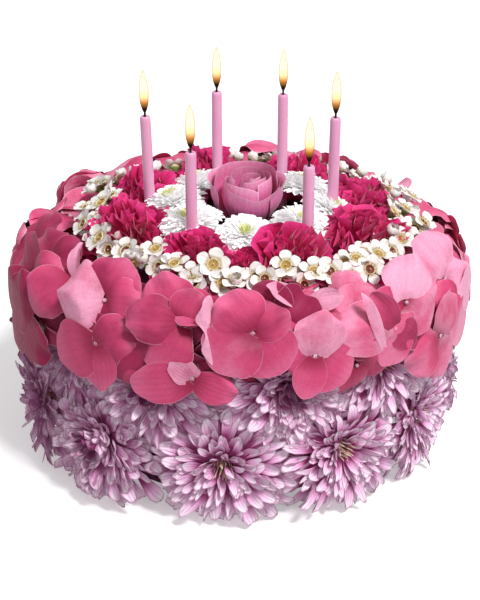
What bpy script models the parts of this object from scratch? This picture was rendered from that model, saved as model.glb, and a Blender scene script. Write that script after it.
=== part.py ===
"""Flower cake with birthday candles: fresh flowers set round a plain drum, with six lit candles on top.

Metres, +Z up. The drum stands on z = 0 round the Z axis, and -Y is the front. Run it with
blender --background --python part.py, or from Blender's text editor.
"""

import math
from dataclasses import dataclass

import bmesh
import bpy
from mathutils import Vector

GAP = 0.0003  # clearance between two pieces that touch

# The drum that the stems stand in.
DRUM_RADIUS = 0.084
DRUM_HEIGHT = 0.1155
DRUM_CHAMFER = 0.004
DRUM_SIDES = 48

# Everything on top is centred a little to the right of the drum's axis.
TOP_SHIFT = 0.005
TOP_LEVEL = DRUM_HEIGHT + GAP

# Two staggered rows of large chrysanthemums stand out from the drum's wall, each row unevenly by this much.
MUM_COUNT = 11
MUM_STEP = math.tau / MUM_COUNT
MUM_FIRST_TURN = math.radians(-5)
MUM_ROW_HEIGHTS = {"low": 0.033, "high": 0.0765}
MUM_UNEVENNESS = 0.0012
MUM_PROFILE = (
    (0, 0),
    (0.006, 0),
    (0.015, 0.011),
    (0.0246, 0.019),
    (0.020, 0.028),
    (0.008, 0.0345),
    (0, 0.0325),
)
MUM_SIDES = 14
MUM_LOBES = 7
MUM_LOBE_DEPTH = 0.06

# The hydrangea collar, as a section through its one side: inner ledge, hanging lip, crown, back to the ledge.
COLLAR_SECTION = (
    (DRUM_RADIUS + GAP, 0.1056),
    (0.1030, 0.1056),
    (0.1120, 0.1010),
    (0.1190, 0.0935),
    (0.1226, 0.0840),
    (0.1245, 0.0760),
    (0.1266, 0.0770),
    (0.1270, 0.0850),
    (0.1270, 0.0930),
    (0.1262, 0.1010),
    (0.1262, 0.1090),
    (0.1185, 0.1175),
    (0.1080, 0.1210),
    (0.0970, 0.1140),
    (DRUM_RADIUS + GAP, 0.1126),
)
COLLAR_SIDES = 48
COLLAR_FLORETS = 12
COLLAR_TIER = 0.101  # the level that parts the hanging florets from the upper ones
COLLAR_SWELL = 0.0050
COLLAR_LIP_DROP = 0.008

# The wreath of small waxflowers inside the collar's crown.
WREATH_RADIUS = 0.0895
WREATH_LEVEL = 0.125
WREATH_HALF_WIDTH = 0.0090
WREATH_HALF_HEIGHT = 0.0085
WREATH_SIDES = 45
WREATH_CORNERS = 6
WREATH_CLUSTERS = 15
WREATH_SWELL = 0.08


@dataclass(frozen=True)
class BloomRing:
    """A ring of like blooms: the ring's size and turn, and one bloom's outward tilt, outline and lobes."""

    name: str
    material: str
    count: int
    radius: float
    turn: float
    tilt: float
    profile: tuple
    sides: int
    lobes: int
    lobe_depth: float


# Two staggered rings of blooms stand inside the wreath.
CARNATIONS = BloomRing(
    name="carnation",
    material="magenta_petals",
    count=8,
    radius=0.0605,
    turn=math.radians(19.5),
    tilt=math.radians(6),
    profile=(
        (0, 0),
        (0.005, 0),
        (0.009, 0.007),
        (0.0175, 0.013),
        (0.0165, 0.019),
        (0.010, 0.0235),
        (0, 0.024),
    ),
    sides=16,
    lobes=8,
    lobe_depth=0.05,
)
BUTTON_MUMS = BloomRing(
    name="button_mum",
    material="white_petals",
    count=8,
    radius=0.0355,
    turn=math.radians(-3),
    tilt=math.radians(6),
    profile=((0, 0), (0.004, 0), (0.0075, 0.009), (0.0122, 0.017), (0.0090, 0.0235), (0, 0.0245)),
    sides=14,
    lobes=7,
    lobe_depth=0.04,
)

# The rose bud at the middle: its outer petals, its lip, and the rolled heart inside it.
ROSE_PROFILE = (
    (0, 0),
    (0.006, 0),
    (0.012, 0.008),
    (0.017, 0.018),
    (0.0180, 0.030),
    (0.0168, 0.0375),
    (0.0135, 0.0390),
    (0.0110, 0.0345),
    (0.0080, 0.0385),
    (0.0045, 0.0360),
    (0, 0.0345),
)
ROSE_SIDES = 20
ROSE_PETALS = 5
ROSE_TWIST = math.radians(50)
ROSE_PETAL_DEPTH = 0.04

# Candles: length, and for each one its turn from the front, its distance from the top's centre, the
# height of its tip, and how far it leans, outward along its own turn.
CANDLE_RADIUS = 0.003
CANDLE_LENGTH = 0.080
CANDLE_TAPER = 0.0018
CANDLE_TIP_RADIUS = 0.0018
CANDLE_SIDES = 12
CANDLES = (
    (math.radians(-94), 0.0560, 0.1845, math.radians(1.8)),
    (math.radians(-37), 0.0500, 0.1790, math.radians(0.4)),
    (math.radians(31), 0.0600, 0.1755, math.radians(0.4)),
    (math.radians(88), 0.0470, 0.1855, math.radians(0.6)),
    (math.radians(156), 0.0490, 0.1845, math.radians(0.3)),
    (math.radians(-160), 0.0515, 0.1850, math.radians(0.5)),
)
CUTTER_LENGTH = 0.050

WICK_RADIUS = 0.0006
WICK_SOCKET_DEPTH = 0.002
WICK_LENGTH = 0.0070
WICK_SIDES = 6

FLAME_HEIGHT = 0.0248
FLAME_SOCKET_DEPTH = 0.0060
FLAME_SIDES = 8

ROUND_EDGE = math.radians(40)

# Colour, roughness and metallic value of each material.
FINISHES = {
    "drum_foam": ((0.10, 0.14, 0.06), 0.95, 0.0),
    "lilac_petals": ((0.56, 0.36, 0.60), 0.60, 0.0),
    "pink_petals": ((0.75, 0.18, 0.34), 0.55, 0.0),
    "white_petals": ((0.88, 0.87, 0.84), 0.55, 0.0),
    "magenta_petals": ((0.62, 0.03, 0.16), 0.60, 0.0),
    "rose_petals": ((0.62, 0.20, 0.36), 0.50, 0.0),
    "candle_wax": ((0.80, 0.40, 0.58), 0.40, 0.0),
    "wick_cord": ((0.05, 0.04, 0.03), 0.90, 0.0),
    "flame_glow": ((1.00, 0.70, 0.25), 0.50, 0.0),
}


def clear_scene():
    """Removes whatever the scene holds."""
    for obj in list(bpy.data.objects):
        bpy.data.objects.remove(obj, do_unlink=True)


def finish(name):
    """The material of this name, made on first use."""
    material = bpy.data.materials.get(name)
    if material is None:
        colour, roughness, metallic = FINISHES[name]
        material = bpy.data.materials.new(name)
        material.use_nodes = True
        principled = material.node_tree.nodes["Principled BSDF"]
        principled.inputs["Base Color"].default_value = (*colour, 1.0)
        principled.inputs["Roughness"].default_value = roughness
        principled.inputs["Metallic"].default_value = metallic
        material.diffuse_color = (*colour, 1.0)
    return material


def round_the_axis(turn, radius, height):
    """The point at this turn from the front, this far from the axis and this high."""
    return Vector((radius * math.sin(turn), -radius * math.cos(turn), height))


def spun(profile, sides, hoop=False):
    """A bmesh of the (radius, height) profile spun round Z, as a hoop where the profile is a closed loop."""
    bm = bmesh.new()
    points = [bm.verts.new((radius, 0, height)) for radius, height in profile]
    ends = list(zip(points, points[1:]))
    if hoop:
        ends.append((points[-1], points[0]))
    edges = [bm.edges.new(pair) for pair in ends]
    bmesh.ops.spin(
        bm, geom=points + edges, cent=(0, 0, 0), axis=(0, 0, 1), angle=math.tau, steps=sides, use_merge=True
    )
    bmesh.ops.remove_doubles(bm, verts=bm.verts, dist=1e-6)
    bmesh.ops.recalc_face_normals(bm, faces=bm.faces)
    return bm


def scallop(bm, lobes, depth, phase=0.0, twist=0.0):
    """Swells and shrinks the radius in this many lobes, deepest at the widest ring, as petal tips do.

    With a twist, the lobes turn by that angle from the lowest point to the highest.
    """
    widest = max(vert.co.xy.length for vert in bm.verts)
    tallest = max(vert.co.z for vert in bm.verts)
    for vert in bm.verts:
        radius = vert.co.xy.length
        turn = math.atan2(vert.co.y, vert.co.x) + twist * vert.co.z / tallest
        swell = 1 + depth * (radius / widest) ** 2 * math.cos(lobes * turn + phase)
        vert.co.x *= swell
        vert.co.y *= swell


def place(name, bm, material, location=(0, 0, 0), rotation=(0, 0, 0), parent=None):
    """Makes the named object of a bmesh, shaded smooth with crisp edges, and puts it in its place."""
    mesh = bpy.data.meshes.new(name)
    bm.to_mesh(mesh)
    bm.free()
    mesh.materials.append(finish(material))
    mesh.shade_smooth()
    mesh.set_sharp_from_angle(angle=ROUND_EDGE)
    obj = bpy.data.objects.new(name, mesh)
    bpy.context.collection.objects.link(obj)
    obj.location = location
    obj.rotation_euler = rotation
    obj.parent = parent
    return obj


def cut(obj, cutter):
    """Takes the cutter's shape out of the object."""
    modifier = obj.modifiers.new(cutter.name, "BOOLEAN")
    modifier.operation = "DIFFERENCE"
    modifier.object = cutter


def make_drum():
    """The plain drum, flat underneath, with a chamfered top edge."""
    profile = (
        (0, 0),
        (DRUM_RADIUS, 0),
        (DRUM_RADIUS, DRUM_HEIGHT - DRUM_CHAMFER),
        (DRUM_RADIUS - DRUM_CHAMFER, DRUM_HEIGHT),
        (0, DRUM_HEIGHT),
    )
    return place("core", spun(profile, DRUM_SIDES), "drum_foam")


def make_mums():
    """The two staggered rows of chrysanthemum heads, each facing straight out from the wall."""
    for row, (label, height) in enumerate(MUM_ROW_HEIGHTS.items()):
        for index in range(MUM_COUNT):
            turn = MUM_FIRST_TURN + MUM_STEP * (index + row / 2)
            bm = spun(MUM_PROFILE, MUM_SIDES)
            scallop(bm, MUM_LOBES, MUM_LOBE_DEPTH, phase=index)
            root = round_the_axis(turn, DRUM_RADIUS + GAP, height + MUM_UNEVENNESS * math.sin(3 * index))
            place(f"mum_{label}_{index + 1:02d}", bm, "lilac_petals", root, (math.pi / 2, 0, turn))


def make_collar():
    """The hydrangea collar: a hoop of two tiers of florets, half a floret apart, with an uneven hem.

    Each floret is a dome between two creases, and only the outer side swells.
    """
    bm = spun(COLLAR_SECTION, COLLAR_SIDES, hoop=True)
    lip = min(height for _, height in COLLAR_SECTION)
    face = max(radius for radius, _ in COLLAR_SECTION)
    for vert in bm.verts:
        turn = math.atan2(vert.co.y, vert.co.x)
        half_floret = COLLAR_FLORETS * turn / 2
        upper = vert.co.z > COLLAR_TIER
        dome = abs(math.cos(half_floret)) if upper else abs(math.sin(half_floret))
        outward = max(0.0, vert.co.xy.length - DRUM_RADIUS) / (face - DRUM_RADIUS)
        hang = max(0.0, (COLLAR_TIER - vert.co.z) / (COLLAR_TIER - lip)) * outward
        vert.co.xy += vert.co.xy.normalized() * COLLAR_SWELL * outward**3 * (dome - 0.15)
        vert.co.z += COLLAR_LIP_DROP * hang * math.cos(half_floret + 2 * math.sin(turn))
    return place("hydrangea_collar", bm, "pink_petals")


def make_wreath(top):
    """The waxflower wreath: a hoop that is thicker at each cluster of flowers."""
    section = []
    for corner in range(WREATH_CORNERS):
        angle = math.tau * corner / WREATH_CORNERS
        across = WREATH_HALF_WIDTH * math.cos(angle)
        section.append((WREATH_RADIUS + across, WREATH_HALF_HEIGHT * math.sin(angle)))
    bm = spun(section, WREATH_SIDES, hoop=True)
    for vert in bm.verts:
        turn = math.atan2(vert.co.y, vert.co.x)
        centre = Vector((math.cos(turn), math.sin(turn), 0)) * WREATH_RADIUS
        vert.co = centre + (vert.co - centre) * (1 + WREATH_SWELL * math.cos(WREATH_CLUSTERS * turn))
    return place("waxflower_wreath", bm, "white_petals", (0, 0, WREATH_LEVEL - TOP_LEVEL), parent=top)


def make_candle(number, turn, distance, tip_height, lean, top):
    """A candle with its wick and flame. Returns the cutter that clears its way, and the spot it stands on."""
    shoulder = CANDLE_LENGTH - CANDLE_TAPER
    socket_radius = WICK_RADIUS + GAP
    socket_floor = CANDLE_LENGTH - WICK_SOCKET_DEPTH
    profile = (
        (0, 0),
        (CANDLE_RADIUS, 0),
        (CANDLE_RADIUS, shoulder),
        (CANDLE_TIP_RADIUS, CANDLE_LENGTH),
        (socket_radius, CANDLE_LENGTH),
        (socket_radius, socket_floor),
        (0, socket_floor),
    )
    spot = round_the_axis(turn, distance, 0)
    foot = round_the_axis(turn, distance - CANDLE_LENGTH * math.sin(lean), 0)
    foot.z = tip_height - TOP_LEVEL - CANDLE_LENGTH * math.cos(lean)
    candle = place(f"candle_{number}", spun(profile, CANDLE_SIDES), "candle_wax", foot, (lean, 0, turn), top)

    wick_profile = ((0, 0), (WICK_RADIUS, 0), (WICK_RADIUS, WICK_LENGTH), (0, WICK_LENGTH))
    wick = spun(wick_profile, WICK_SIDES)
    place(f"wick_{number}", wick, "wick_cord", (0, 0, socket_floor + GAP), parent=candle)

    flame_profile = (
        (0, FLAME_SOCKET_DEPTH),
        (socket_radius, FLAME_SOCKET_DEPTH),
        (socket_radius, 0),
        (0.0014, 0),
        (0.0023, 0.0055),
        (0.0024, 0.0095),
        (0.0014, 0.0180),
        (0, FLAME_HEIGHT),
    )
    flame = spun(flame_profile, FLAME_SIDES)
    place(f"flame_{number}", flame, "flame_glow", (0, 0, CANDLE_LENGTH + GAP), parent=candle)

    cutter_profile = (
        (0, -GAP),
        (CANDLE_RADIUS + GAP, -GAP),
        (CANDLE_RADIUS + GAP, CUTTER_LENGTH),
        (0, CUTTER_LENGTH),
    )
    cutter = place(f"candle_cutter_{number}", spun(cutter_profile, CANDLE_SIDES), "candle_wax", parent=candle)
    cutter.hide_render = True
    cutter.display_type = "WIRE"
    return cutter, spot


def make_bloom_ring(ring, candles, top):
    """A ring of blooms that lean outward, each cut clear of the candles that pass through it."""
    reach = max(radius for radius, _ in ring.profile) + 2 * CANDLE_RADIUS
    neck = ring.profile[1][0]
    for index in range(ring.count):
        turn = ring.turn + math.tau * index / ring.count
        spot = round_the_axis(turn, ring.radius, 0)
        bm = spun(ring.profile, ring.sides)
        scallop(bm, ring.lobes, ring.lobe_depth, phase=index)
        lifted = spot + Vector((0, 0, neck * math.sin(ring.tilt)))
        bloom = place(f"{ring.name}_{index + 1}", bm, ring.material, lifted, (ring.tilt, 0, turn), top)
        for cutter, candle_spot in candles:
            if (candle_spot - spot).length < reach:
                cut(bloom, cutter)


def make_rose(top):
    """The rose bud, with its petals wrapped in a slight twist."""
    bm = spun(ROSE_PROFILE, ROSE_SIDES)
    scallop(bm, ROSE_PETALS, ROSE_PETAL_DEPTH, twist=ROSE_TWIST)
    return place("rose", bm, "rose_petals", parent=top)


def main():
    """Builds the drum, then what stands out from it, then what stands on it."""
    clear_scene()
    drum = make_drum()
    make_mums()
    make_collar()
    top = bpy.data.objects.new("top_centre", None)
    bpy.context.collection.objects.link(top)
    top.location = (TOP_SHIFT, 0, TOP_LEVEL)
    make_wreath(top)
    candles = [make_candle(number, *values, top) for number, values in enumerate(CANDLES, 1)]
    for cutter, _ in candles:
        cut(drum, cutter)
    make_bloom_ring(CARNATIONS, candles, top)
    make_bloom_ring(BUTTON_MUMS, candles, top)
    make_rose(top)


if __name__ == "__main__":
    main()
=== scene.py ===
"""Looks of the flower cake: petals, wax, wicks and flames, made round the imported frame.

Metres, +Z up, the cake's foot on z = 0 and its front towards -Y. A turn is an angle round Z that
starts at the front and grows towards +X.
"""

import logging
import math
from dataclasses import dataclass, field, replace
from enum import Enum

import bpy
import numpy as np
import numpy.typing as npt
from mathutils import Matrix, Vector


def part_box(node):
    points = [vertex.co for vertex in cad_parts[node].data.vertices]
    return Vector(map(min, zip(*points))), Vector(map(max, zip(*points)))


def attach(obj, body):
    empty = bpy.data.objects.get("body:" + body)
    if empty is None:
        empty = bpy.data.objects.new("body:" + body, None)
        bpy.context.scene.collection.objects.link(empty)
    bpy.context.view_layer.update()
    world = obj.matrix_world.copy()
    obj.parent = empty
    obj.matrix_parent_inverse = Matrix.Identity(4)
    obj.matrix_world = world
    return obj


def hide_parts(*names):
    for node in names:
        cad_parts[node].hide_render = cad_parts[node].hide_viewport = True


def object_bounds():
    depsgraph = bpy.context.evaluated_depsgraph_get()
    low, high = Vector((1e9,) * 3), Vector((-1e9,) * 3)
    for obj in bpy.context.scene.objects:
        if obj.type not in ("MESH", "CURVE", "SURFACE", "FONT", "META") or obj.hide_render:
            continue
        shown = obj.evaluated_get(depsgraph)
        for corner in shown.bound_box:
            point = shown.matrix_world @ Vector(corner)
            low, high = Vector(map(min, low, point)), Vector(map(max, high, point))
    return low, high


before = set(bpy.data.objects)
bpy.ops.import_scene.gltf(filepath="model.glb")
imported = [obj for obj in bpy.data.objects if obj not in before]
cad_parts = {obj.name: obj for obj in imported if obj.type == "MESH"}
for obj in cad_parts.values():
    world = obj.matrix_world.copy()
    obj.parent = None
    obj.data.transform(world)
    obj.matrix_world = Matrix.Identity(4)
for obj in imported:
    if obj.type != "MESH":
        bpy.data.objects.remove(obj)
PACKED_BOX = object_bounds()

Array = npt.NDArray[np.float64]
Numbers = float | Array
log = logging.getLogger("flower_cake")

MM = 0.001
GOLDEN_ANGLE = math.pi * (3 - math.sqrt(5))
RIM_ANGLE = math.radians(75)
BOX_LOW, BOX_HIGH = (np.array(corner) for corner in PACKED_BOX)


def node_centre(node: str) -> Array:
    """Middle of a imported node's box."""
    low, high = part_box(node)
    return (np.array(low) + np.array(high)) / 2


def node_turns(nodes: list[str]) -> Array:
    """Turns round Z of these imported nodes' middles."""
    middles = np.array([node_centre(node) for node in nodes])
    return np.arctan2(middles[:, 0], -middles[:, 1])


def direction(turn: Numbers, climb: Numbers) -> Array:
    """Unit vectors at these turns round Z, raised from the level by these angles."""
    level = np.cos(climb)
    return np.stack(np.broadcast_arrays(level * np.sin(turn), -level * np.cos(turn), np.sin(climb)), axis=-1)


def unit(vectors: Array) -> Array:
    """The same vectors, each one long."""
    return vectors / np.maximum(np.linalg.norm(vectors, axis=-1, keepdims=True), 1e-12)


# ---------------------------------------------------------------------------- meshes


@dataclass(frozen=True)
class Pose:
    """Places of many copies: each one's origin, the matrix of its axes, and its scale."""

    origins: Array
    axes: Array
    scales: Array

    @classmethod
    def facing(cls, origins: Array, forward: Array, roll: Numbers = 0.0, scale: Numbers = 1.0) -> "Pose":
        """Poses whose own +Z looks forward and whose own +Y is as near to up as it can be, then rolled.

        Args:
            origins: one point a copy.
            forward: one direction a copy.
            roll: radians turned round forward, one for all or one a copy.
            scale: size, one for all or one a copy.

        Returns:
            The poses.
        """
        count = len(origins)
        ahead = unit(np.broadcast_to(forward, (count, 3)).astype(float))
        near_up = np.where(np.abs(ahead[:, 2:]) > 0.999, (0.0, 1.0, 0.0), (0.0, 0.0, 1.0))
        right = unit(np.cross(near_up, ahead))
        above = np.cross(ahead, right)
        angle = np.broadcast_to(roll, (count,))[:, None]
        turned_right = right * np.cos(angle) + above * np.sin(angle)
        turned_above = above * np.cos(angle) - right * np.sin(angle)
        axes = np.stack([turned_right, turned_above, ahead], axis=2)
        return cls(np.asarray(origins, float), axes, np.broadcast_to(scale, (count,)).astype(float))

    def place(self, points: Array) -> Array:
        """Local points, shaped (copies, ..., 3) or (..., 3), moved to each copy's place."""
        if points.ndim == 2:
            points = points[None]
        middle = (1,) * (points.ndim - 2)
        scaled = points * self.scales.reshape(-1, *middle, 1)
        turned = np.einsum("nij,n...j->n...i", self.axes, np.broadcast_to(scaled, (len(self.scales), *points.shape[1:])))
        return turned + self.origins.reshape(-1, *middle, 3)

    def turn(self, vectors: Array) -> Array:
        """Local directions, one a copy and item, turned with each copy."""
        return np.einsum("nij,n...j->n...i", self.axes, vectors)


@dataclass
class Skin:
    """Closed surfaces gathered for one piece, with two vectors at each point that its finish reads.

    The vector named petal holds the place across, the place along and the nearness to the edge. The
    vector named bloom holds the layer from the heart outward, a chance number, and a tint.
    """

    points: list[Array] = field(default_factory=list)
    corners: list[Array] = field(default_factory=list)
    sizes: list[Array] = field(default_factory=list)
    petal: list[Array] = field(default_factory=list)
    bloom: list[Array] = field(default_factory=list)
    total: int = 0

    def add(self, points: Array, faces: list[Array], petal: Array, bloom: Array) -> None:
        """Adds copies of one closed mesh.

        Args:
            points: (copies, points, 3).
            faces: arrays of corner numbers, one array for each number of corners.
            petal: broadcast to points.
            bloom: broadcast to points.
        """
        copies, count, _ = points.shape
        first = self.total + count * np.arange(copies)[:, None, None]
        for polygons in faces:
            numbered = (polygons[None] + first).reshape(-1, polygons.shape[1])
            self.corners.append(numbered.ravel())
            self.sizes.append(np.full(len(numbered), polygons.shape[1]))
        self.points.append(points.reshape(-1, 3))
        self.petal.append(np.broadcast_to(petal, points.shape).reshape(-1, 3))
        self.bloom.append(np.broadcast_to(bloom, points.shape).reshape(-1, 3))
        self.total += copies * count

    def make(self, name: str, material: bpy.types.Material) -> bpy.types.Object:
        """Makes the piece, smooth but for its rims.

        Args:
            name: the piece's name.
            material: its finish.

        Returns:
            The new object, at the origin.
        """
        points = keep_in_box(np.concatenate(self.points))
        corners = np.concatenate(self.corners)
        sizes = np.concatenate(self.sizes)
        mesh = bpy.data.meshes.new(name)
        mesh.vertices.add(len(points))
        mesh.vertices.foreach_set("co", points.ravel())
        mesh.loops.add(len(corners))
        mesh.loops.foreach_set("vertex_index", corners.astype(np.int32))
        mesh.polygons.add(len(sizes))
        mesh.polygons.foreach_set("loop_start", (np.cumsum(sizes) - sizes).astype(np.int32))
        for label, values in (("petal", self.petal), ("bloom", self.bloom)):
            layer = mesh.attributes.new(label, "FLOAT_VECTOR", "POINT")
            layer.data.foreach_set("vector", np.concatenate(values).ravel().astype(np.float32))
        mesh.update(calc_edges=True)
        mesh.shade_smooth()
        mesh.set_sharp_from_angle(angle=RIM_ANGLE)
        mesh.materials.append(material)
        piece = bpy.data.objects.new(name, mesh)
        bpy.context.collection.objects.link(piece)
        triangles = int((sizes - 2).sum())
        log.info("%s: %d triangles", name, triangles)
        return piece


def keep_in_box(points: Array) -> Array:
    """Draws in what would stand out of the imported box: beyond the box's round, distance counts a tenth."""
    margin, squeeze = 1.4 * MM, 0.08
    limit = BOX_HIGH[0] - margin
    radius = np.hypot(points[:, 0], points[:, 1])
    inside = np.minimum(radius, limit) + squeeze * np.maximum(radius - limit, 0)
    kept = points.copy()
    kept[:, :2] *= (inside / np.maximum(radius, 1e-9))[:, None]
    floor = 0.3 * MM
    kept[:, 2] = np.maximum(kept[:, 2], floor) - 0.02 * np.maximum(floor - kept[:, 2], 0)
    kept[:, 2] = np.maximum(kept[:, 2], 0.0)
    return kept


@dataclass
class Petals:
    """Petals before they get a surface; each array has one row a petal.

    guides: the root, the point that bends the midline, and the tip.
    sides: direction across the petal at its root; across, then root to tip, turns to the upper face.
    half_widths: half the width at the widest.
    cups: how far the edges rise, as a share of the half width.
    twists: radians that the petal turns about its midline from root to tip.
    bloom: layer, chance number and tint.
    """

    guides: Array
    sides: Array
    half_widths: Array
    cups: Array
    twists: Array
    bloom: Array

    def repeated(self, copies: int) -> "Petals":
        """The same petals this many times over."""
        return Petals(
            np.tile(self.guides, (copies, 1, 1)),
            np.tile(self.sides, (copies, 1)),
            np.tile(self.half_widths, copies),
            np.tile(self.cups, copies),
            np.tile(self.twists, copies),
            np.tile(self.bloom, (copies, 1)),
        )

    def varied(self, rng: np.random.Generator, sway: float, spread: float, twist: float = 0.2) -> "Petals":
        """The same petals, no two alike.

        Args:
            rng: seeded generator.
            sway: how far tips stray, as a share of the length; the bend strays too, part with the tip.
            spread: how far widths and cups stray, as a share of themselves.
            twist: how far twists stray, in radians.

        Returns:
            The varied petals, each with its own chance number.
        """
        count = len(self.guides)
        length = np.linalg.norm(self.guides[:, 2] - self.guides[:, 0], axis=1)[:, None]
        stray, own = rng.normal(0, sway, (2, count, 3)) * length
        guides = self.guides + np.stack([np.zeros_like(stray), 0.5 * stray + 0.6 * own, stray], axis=1)
        widths = self.half_widths * (1 + spread * rng.uniform(-1, 1, count))
        cups = self.cups * (1 + 1.5 * spread * rng.uniform(-1, 1, count))
        twists = self.twists + rng.normal(0, twist, count)
        bloom = np.stack([self.bloom[:, 0], rng.random(count), self.bloom[:, 2]], axis=1)
        return Petals(guides, self.sides, widths, cups, twists, bloom)

    def seated(self, pose: Pose, tints: Numbers = 0.0) -> "Petals":
        """The petals shared out in equal runs among a pose's copies and moved there.

        Args:
            pose: where the copies go.
            tints: added to the tint, one for all or one a copy.

        Returns:
            The moved petals.
        """
        copies = len(pose.scales)
        each = len(self.guides) // copies
        bloom = self.bloom.copy()
        bloom[:, 2] += np.repeat(np.broadcast_to(tints, (copies,)), each)
        return Petals(
            pose.place(self.guides.reshape(copies, each, 3, 3)).reshape(-1, 3, 3),
            pose.turn(self.sides.reshape(copies, each, 3)).reshape(-1, 3),
            np.repeat(pose.scales, each) * self.half_widths,
            self.cups,
            self.twists,
            bloom,
        )

    @staticmethod
    def joined(parts: "list[Petals]") -> "Petals":
        """All the petals of several batches as one batch."""
        names = ("guides", "sides", "half_widths", "cups", "twists", "bloom")
        return Petals(*(np.concatenate([getattr(part, name) for part in parts]) for name in names))


def radial_petals(turns: Array, midline: Array, half_widths: Array, cups: Array, twists: Array, bloom: Array) -> Petals:
    """Petals that stand round +Z.

    Args:
        turns: angle of each petal about +Z.
        midline: (petals, 3 guides, 2): distance from the axis, and height.
        half_widths: as in Petals.
        cups: as in Petals.
        twists: as in Petals.
        bloom: as in Petals.

    Returns:
        The petals, upper faces towards +Z.
    """
    outward = np.stack([np.cos(turns), np.sin(turns), np.zeros_like(turns)], axis=1)
    side = np.stack([np.sin(turns), -np.cos(turns), np.zeros_like(turns)], axis=1)
    guides = midline[:, :, :1] * outward[:, None] + midline[:, :, 1:] * np.array([0.0, 0.0, 1.0])
    return Petals(guides, side, half_widths, cups, twists, bloom)


@dataclass(frozen=True)
class PetalShape:
    """How a kind of petal is cut and shaped, in shares of its length and half width."""

    rows: int
    columns: int
    thickness: float
    claw: float = 0.35
    widest_at: float = 0.5
    tip_width: float = 0.5
    tip_round: float = 0.3
    roundness: float = 2.0
    notch: float = 0.0
    crease: float = 0.0
    ruffle: float = 0.0
    ruffle_waves: float = 3.0
    serration: float = 0.0
    serration_teeth: float = 9.0
    wobble: float = 0.0
    lobes: float = 0.0

    def width_along(self, along: Array) -> Array:
        """Half width as a share of the widest: a sine rise from the claw, then a parabola down to the tip."""
        rise = self.claw + (1 - self.claw) * np.sin(0.5 * np.pi * np.minimum(along / self.widest_at, 1))
        fall = np.maximum(along - self.widest_at, 0) / (1 - self.widest_at)
        return rise * (1 - (1 - self.tip_width) * fall**2)

    def middle(self, petals: Petals) -> tuple[Array, Array, Array]:
        """Works out the middle surface of each petal.

        The midline is a quadratic curve through its guides. A point lies on it at a share of the length
        that falls back towards the petal's edges, which rounds the tip and the root's lobes, and at the
        notch. From there it goes across by the half width, and up by the cup, the crease, and the ruffle, a sine across
        whose height grows with the square of the place along.

        Args:
            petals: the petals to shape.

        Returns:
            Points (petals, rows + 1, columns + 1, 3), place across and place along.
        """
        along = np.linspace(0, 1, self.rows + 1)[None, :, None]
        across = np.linspace(-1, 1, self.columns + 1)[None, None, :]
        chance = petals.bloom[:, 1][:, None, None]
        phase = 2 * np.pi * 7.3 * chance
        teeth = self.serration * np.sin(np.pi * self.serration_teeth * across + phase)
        reach = along * (1 - self.tip_round * np.abs(across) ** self.roundness * along)
        reach = reach - self.lobes * across**2 * (1 - along) ** 2
        reach = reach + (teeth - self.notch * np.exp(-((across / 0.3) ** 2))) * along**6
        reach = reach[..., None]
        root, bend, tip = (petals.guides[:, k][:, None, None] for k in range(3))
        centre = (1 - reach) ** 2 * root + 2 * reach * (1 - reach) * bend + reach**2 * tip
        tangent = unit(2 * (1 - reach) * (bend - root) + 2 * reach * (tip - bend))
        side = petals.sides[:, None, None]
        side = unit(side - np.sum(side * tangent, axis=-1, keepdims=True) * tangent)
        normal = np.cross(side, tangent)
        angle = (petals.twists[:, None, None] * along)[..., None]
        side, normal = side * np.cos(angle) + normal * np.sin(angle), normal * np.cos(angle) - side * np.sin(angle)
        half = petals.half_widths[:, None, None]
        width = half * self.width_along(along) * (1 + self.wobble * np.sin(phase + 5 * along))
        wave = self.ruffle * along**2 * np.sin(np.pi * self.ruffle_waves * across + phase)
        fold = self.crease * np.abs(across) * np.sin(np.pi * along)
        lift = half * (petals.cups[:, None, None] * across**2 * np.sin(0.5 * np.pi * along) + fold + wave)
        points = centre + side * (across * width)[..., None] + normal * lift[..., None]
        return points, across, along

    def clothe(self, skin: Skin, petals: Petals) -> None:
        """Adds the petals to a skin as thin closed lenses: thickest in the middle, shut at the edge.

        Args:
            skin: what gathers the piece.
            petals: the petals to add.
        """
        points, across, along = self.middle(petals)
        edge = np.sqrt((1 - across**2) * (1 - along**8) * np.minimum(along * self.rows, 1))
        add_sheets(skin, points, self.thickness, edge, across, along, petals.bloom)


def sheet_faces(rows: int, columns: int) -> Array:
    """Corner numbers of a closed sheet: a front grid, then a back one inside the same rim, facing back."""
    front = np.arange((rows + 1) * (columns + 1)).reshape(rows + 1, columns + 1)
    back = front.copy()
    back[1:-1, 1:-1] = front.size + np.arange((rows - 1) * (columns - 1)).reshape(rows - 1, columns - 1)

    def quads(grid: Array) -> Array:
        """The grid's cells, wound across first and then along."""
        cells = (grid[:-1, :-1], grid[:-1, 1:], grid[1:, 1:], grid[1:, :-1])
        return np.stack([cell.ravel() for cell in cells], axis=1)

    return np.concatenate([quads(front), quads(back)[:, ::-1]])


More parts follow.
